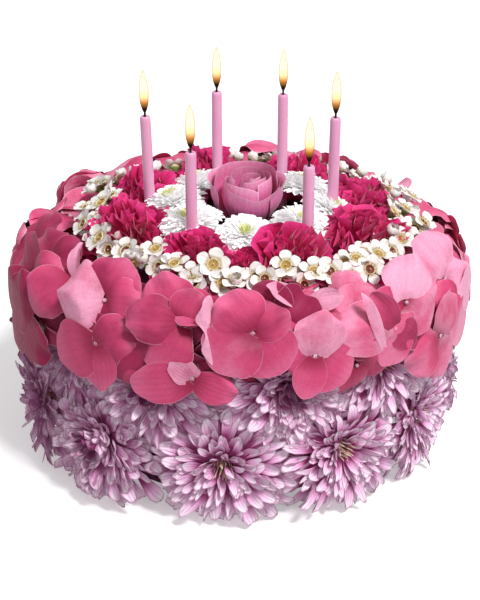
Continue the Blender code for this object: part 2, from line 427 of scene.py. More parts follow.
def add_sheets(
    skin: Skin, points: Array, thickness: float, edge: Array, across: Array, along: Array, bloom: Array
) -> None:
    """Closes each middle surface into a thin body and adds it to a skin.

    The front stands half the thickness above the middle surface along its normal, and the back as far
    below, each times the edge factor, which is 0 all round the rim, where the two meet.

    Args:
        skin: what gathers the piece.
        points: (sheets, rows + 1, columns + 1, 3).
        thickness: at the middle of a sheet.
        edge: 0 on the rim to 1 inside, broadcast to the grid.
        across: -1 to 1 over the columns.
        along: 0 to 1 over the rows.
        bloom: one row a sheet, as in Skin.
    """
    sheets, rows, columns, _ = points.shape
    normal = unit(np.cross(np.gradient(points, axis=2), np.gradient(points, axis=1)))
    shape = (sheets, rows, columns)
    half = 0.5 * thickness * np.broadcast_to(edge, shape)[..., None]
    marks = np.stack([np.broadcast_to(part, shape) for part in (across, along, edge)], axis=-1)
    inner = (slice(None), slice(1, -1), slice(1, -1))

    def both(front: Array, back: Array) -> Array:
        """Front grid points followed by the inner back ones."""
        return np.concatenate([front.reshape(sheets, -1, 3), back[inner].reshape(sheets, -1, 3)], axis=1)

    faces = sheet_faces(rows - 1, columns - 1)
    skin.add(both(points + normal * half, points - normal * half), [faces], both(marks, marks), bloom[:, None])


def turned_faces(rings: int, sides: int) -> list[Array]:
    """Corner numbers of rings skinned one to the next, with a fan to a pole at each end."""
    grid = np.arange(rings * sides).reshape(rings, sides)
    onward = np.roll(grid, -1, axis=1)
    quads = np.stack([grid[:-1], onward[:-1], onward[1:], grid[1:]], axis=-1).reshape(-1, 4)
    low, high = rings * sides, rings * sides + 1
    foot = np.stack([np.full(sides, low), onward[0], grid[0]], axis=1)
    top = np.stack([np.full(sides, high), grid[-1], onward[-1]], axis=1)
    return [quads, np.concatenate([foot, top])]


def add_turned(skin: Skin, profile: Array, sides: int, pose: Pose, bloom: Array) -> None:
    """Adds copies of a profile turned round +Z.

    Args:
        skin: what gathers the piece.
        profile: (points, 2) distances from the axis and heights, from the lower pole up the outside to
            the upper pole; the first and last lie on the axis.
        sides: how many points each ring has.
        pose: where the copies go.
        bloom: one row a copy, as in Skin.
    """
    angle = np.linspace(0, 2 * np.pi, sides, endpoint=False)
    rings = profile[1:-1]
    round_points = np.stack(
        [rings[:, :1] * np.cos(angle), rings[:, :1] * np.sin(angle), np.repeat(rings[:, 1:], sides, axis=1)], axis=-1
    ).reshape(-1, 3)
    poles = np.array([[0.0, 0.0, profile[0, 1]], [0.0, 0.0, profile[-1, 1]]])
    share = np.linspace(0, 1, len(profile))
    marks = np.zeros((len(round_points) + 2, 3))
    marks[:-2, 1] = np.repeat(share[1:-1], sides)
    marks[-2:, 1] = share[0], share[-1]
    marks[:, 2] = 1.0
    points = pose.place(np.concatenate([round_points, poles]))
    skin.add(points, turned_faces(len(rings), sides), marks[None], bloom[:, None])


# ---------------------------------------------------------------------------- finishes


@dataclass(frozen=True)
class Colour:
    """A colour as a screen shows it, each channel from 0 to 255."""

    red: float
    green: float
    blue: float

    @property
    def linear(self) -> tuple[float, float, float, float]:
        """Scene-linear value: the screen curve undone, with a solid alpha."""
        shares = np.array([self.red, self.green, self.blue]) / 255
        low, high = shares / 12.92, ((shares + 0.055) / 1.055) ** 2.4
        return (*(float(v) for v in np.where(shares <= 0.04045, low, high)), 1.0)


class Channel:
    """A number socket that does arithmetic by adding Math nodes to its graph."""

    def __init__(self, graph: "Graph", socket: bpy.types.NodeSocket) -> None:
        """Wraps one output socket."""
        self.graph = graph
        self.socket = socket

    def _math(self, operation: str, *values: "Channel | float") -> "Channel":
        """One Math node on these values."""
        made = self.graph.node("ShaderNodeMath", {"operation": operation}, dict(enumerate(values)))
        return Channel(self.graph, made.outputs[0])

    def __add__(self, other: "Channel | float") -> "Channel":
        """self + other."""
        return self._math("ADD", self, other)

    __radd__ = __add__

    def __sub__(self, other: "Channel | float") -> "Channel":
        """self - other."""
        return self._math("SUBTRACT", self, other)

    def __rsub__(self, other: "Channel | float") -> "Channel":
        """other - self."""
        return self._math("SUBTRACT", other, self)

    def __mul__(self, other: "Channel | float") -> "Channel":
        """self * other."""
        return self._math("MULTIPLY", self, other)

    __rmul__ = __mul__

    def __pow__(self, other: "Channel | float") -> "Channel":
        """self to the power other."""
        return self._math("POWER", self, other)

    def __abs__(self) -> "Channel":
        """Size without sign."""
        return self._math("ABSOLUTE", self)

    def sine(self) -> "Channel":
        """Sine of a number of radians."""
        return self._math("SINE", self)

    def between(self, low: float, high: float) -> "Channel":
        """Smooth step: 0 at low, 1 at high, which may lie the other way round."""
        settings = {"interpolation_type": "SMOOTHSTEP"}
        inputs = {"Value": self, "From Min": low, "From Max": high}
        return Channel(self.graph, self.graph.node("ShaderNodeMapRange", settings, inputs).outputs[0])


class Graph:
    """The nodes of one material."""

    def __init__(self, name: str) -> None:
        """Starts the material with its Principled node and output."""
        self.material = bpy.data.materials.new(name)
        self.material.use_nodes = True
        self.tree = self.material.node_tree
        self.principled = self.tree.nodes["Principled BSDF"]
        coordinates = self.node("ShaderNodeTexCoord")
        self.place = coordinates.outputs["Object"]

    def node(self, kind: str, settings: dict | None = None, inputs: dict | None = None) -> bpy.types.Node:
        """Adds a node.

        Args:
            kind: the node's type.
            settings: its properties; stops are a ramp's (position, Colour) pairs.
            inputs: values or links of its sockets, by name or number.

        Returns:
            The node.
        """
        made = self.tree.nodes.new(kind)
        for name, value in (settings or {}).items():
            if name == "stops":
                self._set_stops(made.color_ramp, value)
            else:
                setattr(made, name, value)
        for key, value in (inputs or {}).items():
            self.feed(made.inputs[key], value)
        return made

    def feed(self, socket: bpy.types.NodeSocket, value: "Channel | bpy.types.NodeSocket | Colour | float") -> None:
        """Links a value to a socket, or sets the socket to it."""
        if isinstance(value, Channel):
            value = value.socket
        if isinstance(value, bpy.types.NodeSocket):
            self.tree.links.new(value, socket)
        elif isinstance(value, Colour):
            socket.default_value = value.linear
        else:
            socket.default_value = value

    @staticmethod
    def _set_stops(ramp: bpy.types.ColorRamp, stops: list[tuple[float, Colour]]) -> None:
        """Sets a ramp's stops in order."""
        while len(ramp.elements) < len(stops):
            ramp.elements.new(1.0)
        for element, (position, colour) in zip(ramp.elements, stops):
            element.position = position
            element.color = colour.linear

    def marks(self, attribute: str) -> tuple[Channel, Channel, Channel]:
        """The three numbers of a vector attribute."""
        vector = self.node("ShaderNodeAttribute", {"attribute_name": attribute}).outputs["Vector"]
        split = self.node("ShaderNodeSeparateXYZ", inputs={0: vector})
        first, second, third = (Channel(self, output) for output in split.outputs)
        return first, second, third

    def noise(self, scale: float, detail: float = 2.0, vector: bpy.types.NodeSocket | None = None) -> Channel:
        """Soft noise about 0.5, with scale in bumps a metre on object coordinates unless a vector is given."""
        inputs = {"Vector": vector or self.place, "Scale": scale, "Detail": detail}
        return Channel(self, self.node("ShaderNodeTexNoise", inputs=inputs).outputs[0])

    def vector(self, *parts: "Channel | float") -> bpy.types.NodeSocket:
        """A vector of three numbers."""
        return self.node("ShaderNodeCombineXYZ", inputs=dict(enumerate(parts))).outputs[0]

    def ramp(self, value: Channel, stops: list[tuple[float, Colour]]) -> bpy.types.NodeSocket:
        """The colour of a ramp at this value."""
        return self.node("ShaderNodeValToRGB", {"stops": stops}, {0: value}).outputs[0]

    def mix(
        self,
        share: "Channel | float",
        first: bpy.types.NodeSocket | Colour,
        second: bpy.types.NodeSocket | Colour,
        blend: str = "MIX",
    ) -> bpy.types.NodeSocket:
        """Mixes two colours.

        Args:
            share: how much of the second, from 0 to 1.
            first: the colour at 0.
            second: the colour at 1.
            blend: the Mix node's blend type.

        Returns:
            The mixed colour.
        """
        inputs = {0: share, 6: first, 7: second}
        return self.node("ShaderNodeMix", {"data_type": "RGBA", "blend_type": blend}, inputs).outputs[2]

    def bump(self, height: Channel, depth: float) -> None:
        """Raises the surface by height times depth, in metres, in the shading only."""
        inputs = {"Height": height, "Distance": depth, "Strength": 1.0}
        self.feed(self.principled.inputs["Normal"], self.node("ShaderNodeBump", inputs=inputs).outputs[0])

    def surface(self, **sockets: "Channel | bpy.types.NodeSocket | Colour | float") -> bpy.types.Material:
        """Feeds the Principled node's sockets, named with _ for a space, and returns the material."""
        for name, value in sockets.items():
            self.feed(self.principled.inputs[name.replace("_", " ")], value)
        return self.material


@dataclass(frozen=True)
class PetalFinish:
    """A petal's colours from root to tip, its darker shade, its rim, its veins, and a painted glow.

    A petal runs from deep through body to tip along its length; the deep colour at the root is painted
    shade, where the petal sits down among the others. A tint of 1 in the bloom attribute takes it to
    shade, -1 takes it to pale, and 0 leaves it. Veins are ripples across it that fan with its width. The
    glow gives out the petal's own colour as painted light, which lifts it all over, its shadows too.
    """

    name: str
    deep: Colour
    body: Colour
    tip: Colour
    shade: Colour
    rim: Colour
    pale: Colour | None = None
    deep_until: float = 0.15
    body_from: float = 0.45
    tip_from: float = 0.7
    rim_share: float = 0.5
    rim_width: float = 0.45
    vein_count: float = 9.0
    vein_depth: float = 0.05 * MM
    vein_colour: float = 0.12
    mottle_scale: float = 220.0
    mottle_share: float = 0.25
    grain_scale: float = 1100.0
    grain_share: float = 0.0
    heart: Colour | None = None
    heart_until: float = 0.0
    roughness: float = 0.62
    sheen: float = 0.25
    glow: float = 0.0

    def material(self) -> bpy.types.Material:
        """Builds the nodes."""
        graph = Graph(self.name)
        across, along, edge = graph.marks("petal")
        layer, chance, tint = graph.marks("bloom")
        # Darker towards the root: painted shade where the petal sits down among the others.
        colour = graph.mix(along.between(self.deep_until, self.body_from), self.deep, self.body)
        colour = graph.mix(along.between(self.tip_from, 1.0), colour, self.tip)
        mottle = graph.noise(self.mottle_scale, 3.0)
        shading = tint + (mottle.between(0.35, 0.75) + chance - 1.0) * self.mottle_share
        colour = graph.mix(shading.between(0.0, 1.0), colour, self.shade)
        if self.pale:
            colour = graph.mix(shading.between(0.0, -1.0), colour, self.pale)
        if self.heart:
            colour = graph.mix(layer.between(self.heart_until, 0.0), colour, self.heart)
        waver = graph.noise(3.0, 1.0, graph.vector(across * 1.5, along, chance * 40.0))
        veins = (across * (math.pi * self.vein_count) + (waver - 0.5) * 5.0).sine() * 0.5 + 0.5
        colour = graph.mix((1.0 - veins) ** 3.0 * self.vein_colour, colour, self.deep)
        grain = graph.noise(self.grain_scale, 2.0)
        colour = graph.mix(grain.between(0.6, 0.3) * self.grain_share, colour, self.deep)
        # Rim colour: on the lilac and waxflower petals a dark outline that paints the shade in the gaps between petals,
        # and on the sepals a painted highlight along the edge.
        colour = graph.mix(edge.between(self.rim_width, 0.0) * self.rim_share, colour, self.rim)
        graph.bump(veins + mottle * 0.6 + grain * 0.5, self.vein_depth)
        return graph.surface(
            Base_Color=colour,
            Roughness=self.roughness,
            Sheen_Weight=self.sheen,
            Sheen_Roughness=0.4,
            Specular_IOR_Level=0.3,
            # Painted glow: the petal's colour given out as light, which lifts its shadows.
            Emission_Color=colour,
            Emission_Strength=self.glow,
        )


@dataclass(frozen=True)
class WaxFinish:
    """Smooth candle wax, paler near the tip with painted light from the flame."""

    name: str
    body: Colour
    flame_lit: Colour
    foot: Colour
    flame_lit_from: float = 0.93

    def material(self) -> bpy.types.Material:
        """Builds the nodes."""
        graph = Graph(self.name)
        _, along, _ = graph.marks("petal")
        streaks = graph.noise(90.0, 2.0)
        # Paler at the top: painted light of the flame.
        colour = graph.mix(along.between(self.flame_lit_from, 1.0), self.body, self.flame_lit)
        colour = graph.mix((streaks.between(0.4, 0.8)) * 0.25, colour, self.foot)
        graph.bump(graph.noise(300.0, 2.0), 0.06 * MM)
        return graph.surface(
            Base_Color=colour,
            Roughness=0.38,
            Subsurface_Weight=0.2,
            Subsurface_Scale=0.004,
            Specular_IOR_Level=0.4,
            Coat_Weight=0.15,
            Coat_Roughness=0.25,
        )


@dataclass(frozen=True)
class FlameFinish:
    """A flame's glow by height, with how much it hides what is behind it."""

    name: str
    stops: tuple[tuple[float, Colour], ...]
    strength: float
    solid_from: float
    solid_to: float
    least: float
    most: float

    def material(self) -> bpy.types.Material:
        """Builds the nodes."""
        graph = Graph(self.name)
        _, along, _ = graph.marks("petal")
        colour = graph.ramp(along, list(self.stops))
        solid = along.between(self.solid_from, self.solid_to) * (self.most - self.least) + self.least
        return graph.surface(
            Base_Color=Colour(0, 0, 0),
            Roughness=1.0,
            Specular_IOR_Level=0.0,
            Emission_Color=colour,
            Emission_Strength=self.strength,
            Alpha=solid,
        )


@dataclass(frozen=True)
class CupFinish:
    """A waxflower cup from its green cone up over the cream rim, down to a maroon or golden hollow."""

    name: str
    cone: Colour = Colour(120, 140, 70)
    rim: Colour = Colour(236, 224, 180)
    maroon: Colour = Colour(122, 40, 38)
    golden: Colour = Colour(186, 146, 80)
    peg: Colour = Colour(236, 216, 200)

    def material(self) -> bpy.types.Material:
        """Builds the nodes."""
        graph = Graph(self.name)
        _, along, _ = graph.marks("petal")
        _, _, tint = graph.marks("bloom")
        fleck = graph.noise(1400.0, 2.0)
        hollow = graph.mix(tint, self.maroon, self.golden)
        hollow = graph.mix(fleck.between(0.4, 0.7) * 0.3, hollow, self.cone)
        colour = graph.mix(along.between(0.2, 0.33), self.cone, self.rim)
        colour = graph.mix(along.between(0.46, 0.56), colour, hollow)
        colour = graph.mix(along.between(0.8, 0.95), colour, self.peg)
        graph.bump(fleck, 0.1 * MM)
        return graph.surface(Base_Color=colour, Roughness=0.5, Specular_IOR_Level=0.3)


@dataclass(frozen=True)
class PlainFinish:
    """A matt finish that wanders between two colours over a fine grain."""

    name: str
    light: Colour
    dark: Colour
    grain: float = 300.0
    depth: float = 0.3 * MM
    roughness: float = 0.9

    def material(self) -> bpy.types.Material:
        """Builds the nodes."""
        graph = Graph(self.name)
        grain = graph.noise(self.grain, 4.0)
        patches = graph.noise(self.grain / 6, 2.0)
        colour = graph.mix((grain * 0.6 + patches * 0.4).between(0.35, 0.65), self.dark, self.light)
        graph.bump(grain, self.depth)
        return graph.surface(Base_Color=colour, Roughness=self.roughness, Specular_IOR_Level=0.2)


# Painted shade and light: the deep colour and the dark magenta rim paint the shade at the petals' roots and in the gaps
# between them, and the glow lifts the shadows.
LILAC = PetalFinish(
    "lilac_petal",
    deep=Colour(146, 44, 104),
    body=Colour(232, 174, 216),
    tip=Colour(252, 236, 250),
    shade=Colour(158, 92, 136),
    rim=Colour(150, 62, 116),
    deep_until=0.25,
    body_from=0.62,
    tip_from=0.5,
    rim_share=0.7,
    rim_width=0.32,
    heart=Colour(130, 44, 100),
    heart_until=0.12,
    vein_count=4.0,
    vein_depth=0.1 * MM,
    vein_colour=0.3,
    mottle_share=0.35,
    glow=0.07,
)
GREEN_HEART = PetalFinish(
    "green_floret",
    deep=Colour(150, 84, 96),
    body=Colour(226, 186, 162),
    tip=Colour(250, 236, 212),
    shade=Colour(190, 130, 140),
    rim=Colour(248, 238, 214),
    vein_count=1.0,
    vein_depth=0.01 * MM,
    vein_colour=0.0,
)
# Painted shade at the sepals' roots in the deep colour, and a painted highlight in the pale rim line; the pale colour,
# which low tints reach, is partly painted light on the right side.
PINK_SEPAL = PetalFinish(
    "pink_sepal",
    deep=Colour(150, 20, 62),
    body=Colour(218, 76, 124),
    tip=Colour(230, 106, 150),
    shade=Colour(152, 30, 76),
    rim=Colour(252, 204, 222),
    pale=Colour(250, 174, 206),
    deep_until=-0.05,
    body_from=0.5,
    tip_from=0.55,
    rim_share=0.4,
    rim_width=0.13,
    vein_count=7.0,
    vein_depth=0.07 * MM,
    vein_colour=0.05,
    mottle_scale=70.0,
    mottle_share=0.4,
    grain_share=0.16,
    sheen=0.1,
)
# Painted shade: the hoop under the florets only shows in the shadowed gaps between them.
COLLAR_SHADE = PlainFinish("collar_shade", Colour(150, 30, 70), Colour(80, 12, 38), grain=120.0)
CREAM_BUTTON = PlainFinish("floret_button", Colour(240, 200, 216), Colour(190, 120, 146), grain=900.0)
# Painted shade: the deep colour at the petals' bases, and the grey-brown rim, an outline of the shade in the gaps
# between petals.
WHITE_WAX = PetalFinish(
    "waxflower_petal",
    deep=Colour(196, 182, 156),
    body=Colour(246, 242, 238),
    tip=Colour(253, 251, 250),
    shade=Colour(228, 218, 210),
    rim=Colour(196, 176, 164),
    rim_width=0.25,
    vein_count=5.0,
    vein_depth=0.04 * MM,
    vein_colour=0.03,
    roughness=0.45,
)
CUP = CupFinish("waxflower_cup")
CUP_RIM = PlainFinish("waxflower_rim", Colour(226, 208, 150), Colour(170, 140, 90), grain=900.0, roughness=0.5)
STEM = PlainFinish("stem", Colour(120, 150, 60), Colour(60, 86, 30), grain=700.0, roughness=0.6)
# Painted shade in the deep colour down in the bloom, and painted light in the glow.
MAGENTA = PetalFinish(
    "magenta_petal",
    deep=Colour(104, 0, 36),
    body=Colour(196, 10, 84),
    tip=Colour(236, 56, 138),
    shade=Colour(146, 2, 50),
    rim=Colour(244, 96, 160),
    rim_share=0.2,
    rim_width=0.3,
    vein_count=6.0,
    vein_depth=0.08 * MM,
    vein_colour=0.2,
    grain_share=0.2,
    glow=0.04,
)
# Painted shade in the deep colour at the roots, and a painted glow that keeps the white petals bright in shade.
WHITE_PETAL = PetalFinish(
    "white_petal",
    deep=Colour(214, 210, 200),
    body=Colour(250, 248, 250),
    tip=Colour(255, 255, 255),
    shade=Colour(240, 236, 242),
    rim=Colour(255, 255, 255),
    deep_until=0.1,
    body_from=0.6,
    heart=Colour(206, 210, 120),
    heart_until=0.14,
    vein_count=2.0,
    vein_depth=0.02 * MM,
    vein_colour=0.0,
    glow=0.1,
)
# Painted shade in the deep colour at the foot of each petal, down in the cup.
ROSE_PINK = PetalFinish(
    "rose_petal",
    deep=Colour(166, 40, 98),
    body=Colour(232, 122, 176),
    tip=Colour(246, 164, 204),
    shade=Colour(196, 70, 134),
    rim=Colour(252, 214, 232),
    deep_until=-0.1,
    body_from=0.7,
    rim_share=0.55,
    rim_width=0.3,
    vein_count=12.0,
    vein_depth=0.05 * MM,
    vein_colour=0.1,
    mottle_scale=90.0,
    grain_share=0.2,
)
# Painted light: the paler second colour is the flame's light on the wax at the top.
CANDLE_WAX = WaxFinish("candle_wax", Colour(238, 172, 208), Colour(248, 208, 226), Colour(226, 150, 194))
WICK = PlainFinish("charred_wick", Colour(70, 40, 20), Colour(16, 10, 8), grain=2500.0, depth=0.1 * MM)
# Painted shade: dark plum like petals in deep shade, where the drum shows between the blooms.
DRUM_SHADE = PlainFinish("drum_foam", Colour(98, 44, 74), Colour(48, 20, 40), grain=420.0, depth=0.6 * MM)
FLAME_HEART = FlameFinish(
    "flame_heart",
    (
        (0.0, Colour(24, 10, 6)),
        (0.13, Colour(52, 24, 12)),
        (0.25, Colour(196, 120, 60)),
        (0.4, Colour(252, 220, 160)),
        (0.6, Colour(255, 244, 214)),
        (1.0, Colour(255, 240, 200)),
    ),
    strength=2.1,
    solid_from=0.0,
    solid_to=0.3,
    least=0.85,
    most=1.0,
)
FLAME_EDGE = FlameFinish(
    "flame_edge",
    (
        (0.0, Colour(24, 12, 8)),
        (0.13, Colour(46, 22, 12)),
        (0.28, Colour(196, 130, 56)),
        (0.5, Colour(226, 176, 92)),
        (1.0, Colour(226, 180, 104)),
    ),
    strength=1.0,
    solid_from=0.15,
    solid_to=0.4,
    least=0.95,
    most=0.42,
)


def settle(piece: bpy.types.Object, nodes: list[str]) -> None:
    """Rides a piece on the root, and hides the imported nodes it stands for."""
    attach(piece, "root")
    if nodes:
        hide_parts(*nodes)


def steps(count: int) -> Array:
    """Shares from just above 0 to just below 1, one a petal."""
    return (np.arange(count) + 0.5) / count


def arched(root: Array, tip: Array, arch: Numbers) -> Array:
    """Midlines in the plane of distance and height, bent to the left of root to tip.

    The bend lies halfway, off the straight line by arch times the length.

    Args:
        root: (petals, 2).
        tip: (petals, 2).
        arch: share of the length, one for all or one a petal.

    Returns:
        (petals, 3, 2) guides.
    """
    step = tip - root
    left = np.stack([-step[:, 1], step[:, 0]], axis=1)
    bend = (root + tip) / 2 + left * np.broadcast_to(arch, (len(root),))[:, None]
    return np.stack([root, bend, tip], axis=1)


def marks_of(layer: Array) -> Array:
    """Bloom vectors with this layer, and no chance or tint yet."""
    return np.stack([layer, np.zeros_like(layer), np.zeros_like(layer)], axis=1)


# ---------------------------------------------------------------------------- flowers


class MumForm(Enum):
    """How a chrysanthemum's petals stand."""

    INCURVED = "spoons that curl over a dark middle"
    OPEN = "straight rays round a pale middle"


@dataclass(frozen=True)
class Chrysanthemums:
    """A row of lilac chrysanthemums planted round the drum."""

    name: str
    nodes: list[str]
    spoons: tuple[int, ...]
    seed: int
    tints: tuple[float, ...]
    petal_count: int = 225
    floret_count: int = 34
    radius: float = 41 * MM
    crown: float = 39 * MM
    fall: float = 18 * MM
    root_drop: float = 12 * MM
    root_rise: float = 5 * MM
    root_least: float = 4 * MM
    hang: float = 12 * MM
    hang_from: float = 0.72
    pale_from: float = 0.13
    table_gap: float = 2.5 * MM
    ceiling: float = 94 * MM
    pressed: float = 0.15
    swell_turn: float = math.radians(-82)
    swell: float = 0.02
    shape: PetalShape = PetalShape(
        rows=4, columns=4, thickness=0.5 * MM, claw=0.3, widest_at=0.84, tip_width=0.72, tip_round=0.13, roundness=3.0
    )
    floret_shape: PetalShape = PetalShape(
        rows=3, columns=2, thickness=0.35 * MM, claw=0.5, widest_at=0.6, tip_width=0.5, tip_round=0.2
    )

    def petals(self, form: MumForm) -> Petals:
        """One bloom that looks along +Z.

        Petals step round by the golden angle. From the first to the last the tip goes out over a dome
        by a power of the step, and the last ones hang down its side. Roots lie under the dome, nearer
        the axis, so that petals overlap like shingles. Above the ceiling the collar presses them down.

        Args:
            form: how the petals stand.

        Returns:
            The petals.
        """
        share = steps(self.petal_count)
        spoon = form is MumForm.INCURVED
        inner = 0.1 if spoon else 0.16
        reach = self.radius * (inner + (1 - inner) * share ** (0.75 if spoon else 0.65))
        hang = self.hang * np.maximum(share - self.hang_from, 0) / (1 - self.hang_from)
        start = reach * (0.3 + 0.25 * share)
        low_root = self.dome(start) - (self.root_drop - self.root_rise * share) - 0.8 * hang
        root = np.stack([start, np.maximum(low_root, self.root_least)], axis=1)
        tip = np.stack([reach, self.dome(reach) - hang - (0.0 if spoon else 3 * MM) * (1 - share)], axis=1)
        midline = arched(root, tip, -0.2 + 0.24 * share if spoon else -0.08 + 0.12 * share)
        widths = (2.8 + 1.0 * share) * MM if spoon else (2.0 + 1.3 * share) * MM
        cups = 0.6 - 0.2 * share if spoon else 0.5 - 0.2 * share
        turns = GOLDEN_ANGLE * np.arange(self.petal_count)
        layer = share if spoon else self.pale_from + (1 - self.pale_from) * share
        return radial_petals(turns, midline, widths, cups, np.zeros_like(share), marks_of(layer))

    def dome(self, reach: Array) -> Array:
        """Height of the dome at these distances from the axis: it falls by their power 2.3."""
        return self.crown - self.fall * (reach / self.radius) ** 2.3

    def florets(self) -> Petals:
        """The short tubes in an open bloom's middle: each stands nearly straight on a low mound."""
        share = steps(self.floret_count)
        reach = 5.5 * MM * share**0.5
        root = np.stack([0.75 * reach, np.full_like(share, self.crown - 18 * MM)], axis=1)
        tip = np.stack([1.1 * reach, self.crown - 5 * MM - 4 * MM * share**2], axis=1)
        turns = GOLDEN_ANGLE * np.arange(self.floret_count)
        widths = np.full_like(share, 0.6 * MM)
        return radial_petals(turns, arched(root, tip, 0.0), widths, share * 0.8, share * 0.0, marks_of(share))

    def build(self) -> list[bpy.types.Object]:
        """Makes the petals and the pale middles, and dresses them."""
        rng = np.random.default_rng(self.seed)
        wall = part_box("core")[1][0]
        turns = node_turns(self.nodes)
        heights = np.array([node_centre(node)[2] for node in self.nodes])
        origins = wall * direction(turns, 0.0) + heights[:, None] * np.array([0.0, 0.0, 1.0])
        climbs = rng.normal(0, 0.05, len(turns))
        forward = direction(turns + rng.normal(0, 0.06, len(turns)), climbs)
        rolls = rng.uniform(0, 2 * np.pi, len(turns))
        scales = rng.uniform(0.98, 1.05, len(turns)) + self.swell * np.exp(-((turns - self.swell_turn) ** 2))
        spooned = np.isin(np.arange(len(turns)), self.spoons)
        tints = np.array(self.tints)
        skin, hearts, batches = Skin(), Skin(), []
        for form in MumForm:
            chosen = spooned == (form is MumForm.INCURVED)
            pose = Pose.facing(origins[chosen], forward[chosen], rolls[chosen], scales[chosen])
            petals = self.petals(form).repeated(int(chosen.sum())).varied(rng, 0.17, 0.45, 0.35)
            batches.append(petals.seated(pose, tints[chosen]))
            if form is MumForm.OPEN:
                florets = self.florets().repeated(int(chosen.sum())).varied(rng, 0.06, 0.2)
                self.floret_shape.clothe(hearts, florets.seated(pose))
        petals = Petals.joined(batches)
        height = petals.guides[:, :, 2]
        height -= (1 - self.pressed) * np.maximum(height - self.ceiling, 0)
        petals.guides[:, :, 2] = np.maximum(height, self.table_gap)
        self.shape.clothe(skin, petals)
        petals_piece = skin.make(self.name, LILAC.material())
        hearts_piece = hearts.make(f"{self.name}_hearts", GREEN_HEART.material())
        settle(petals_piece, self.nodes)
        settle(hearts_piece, [])
        return [petals_piece, hearts_piece]


@dataclass(frozen=True)
class Sepal:
    """One sepal of a hydrangea floret.

    aim is where it points in the floret's plane, in degrees from the right, counter-clockwise from the
    front. length and width are in mm. fold is the degrees it rises towards the viewer. tint takes it
    towards the dark shade, or below 0 towards the pale one. curl lifts its edges, or below 0 drops them.
    """

    aim: float
    length: float = 28.0
    width: float = 32.0
    fold: float = 0.0
    tint: float = 0.1
    curl: float = 0.0


@dataclass(frozen=True)
class Floret:
    """One hydrangea floret.

    turn and climb, in degrees, give its place round the cake and up the collar's section. lift, in mm,
    is how far it stands out. look is the angle its flat sepals look up, and then they also look partly
    to the front; without one they lie round the section.
    """

    turn: float
    climb: float
    lift: float
    sepals: tuple[Sepal, ...]
    look: float | None = None
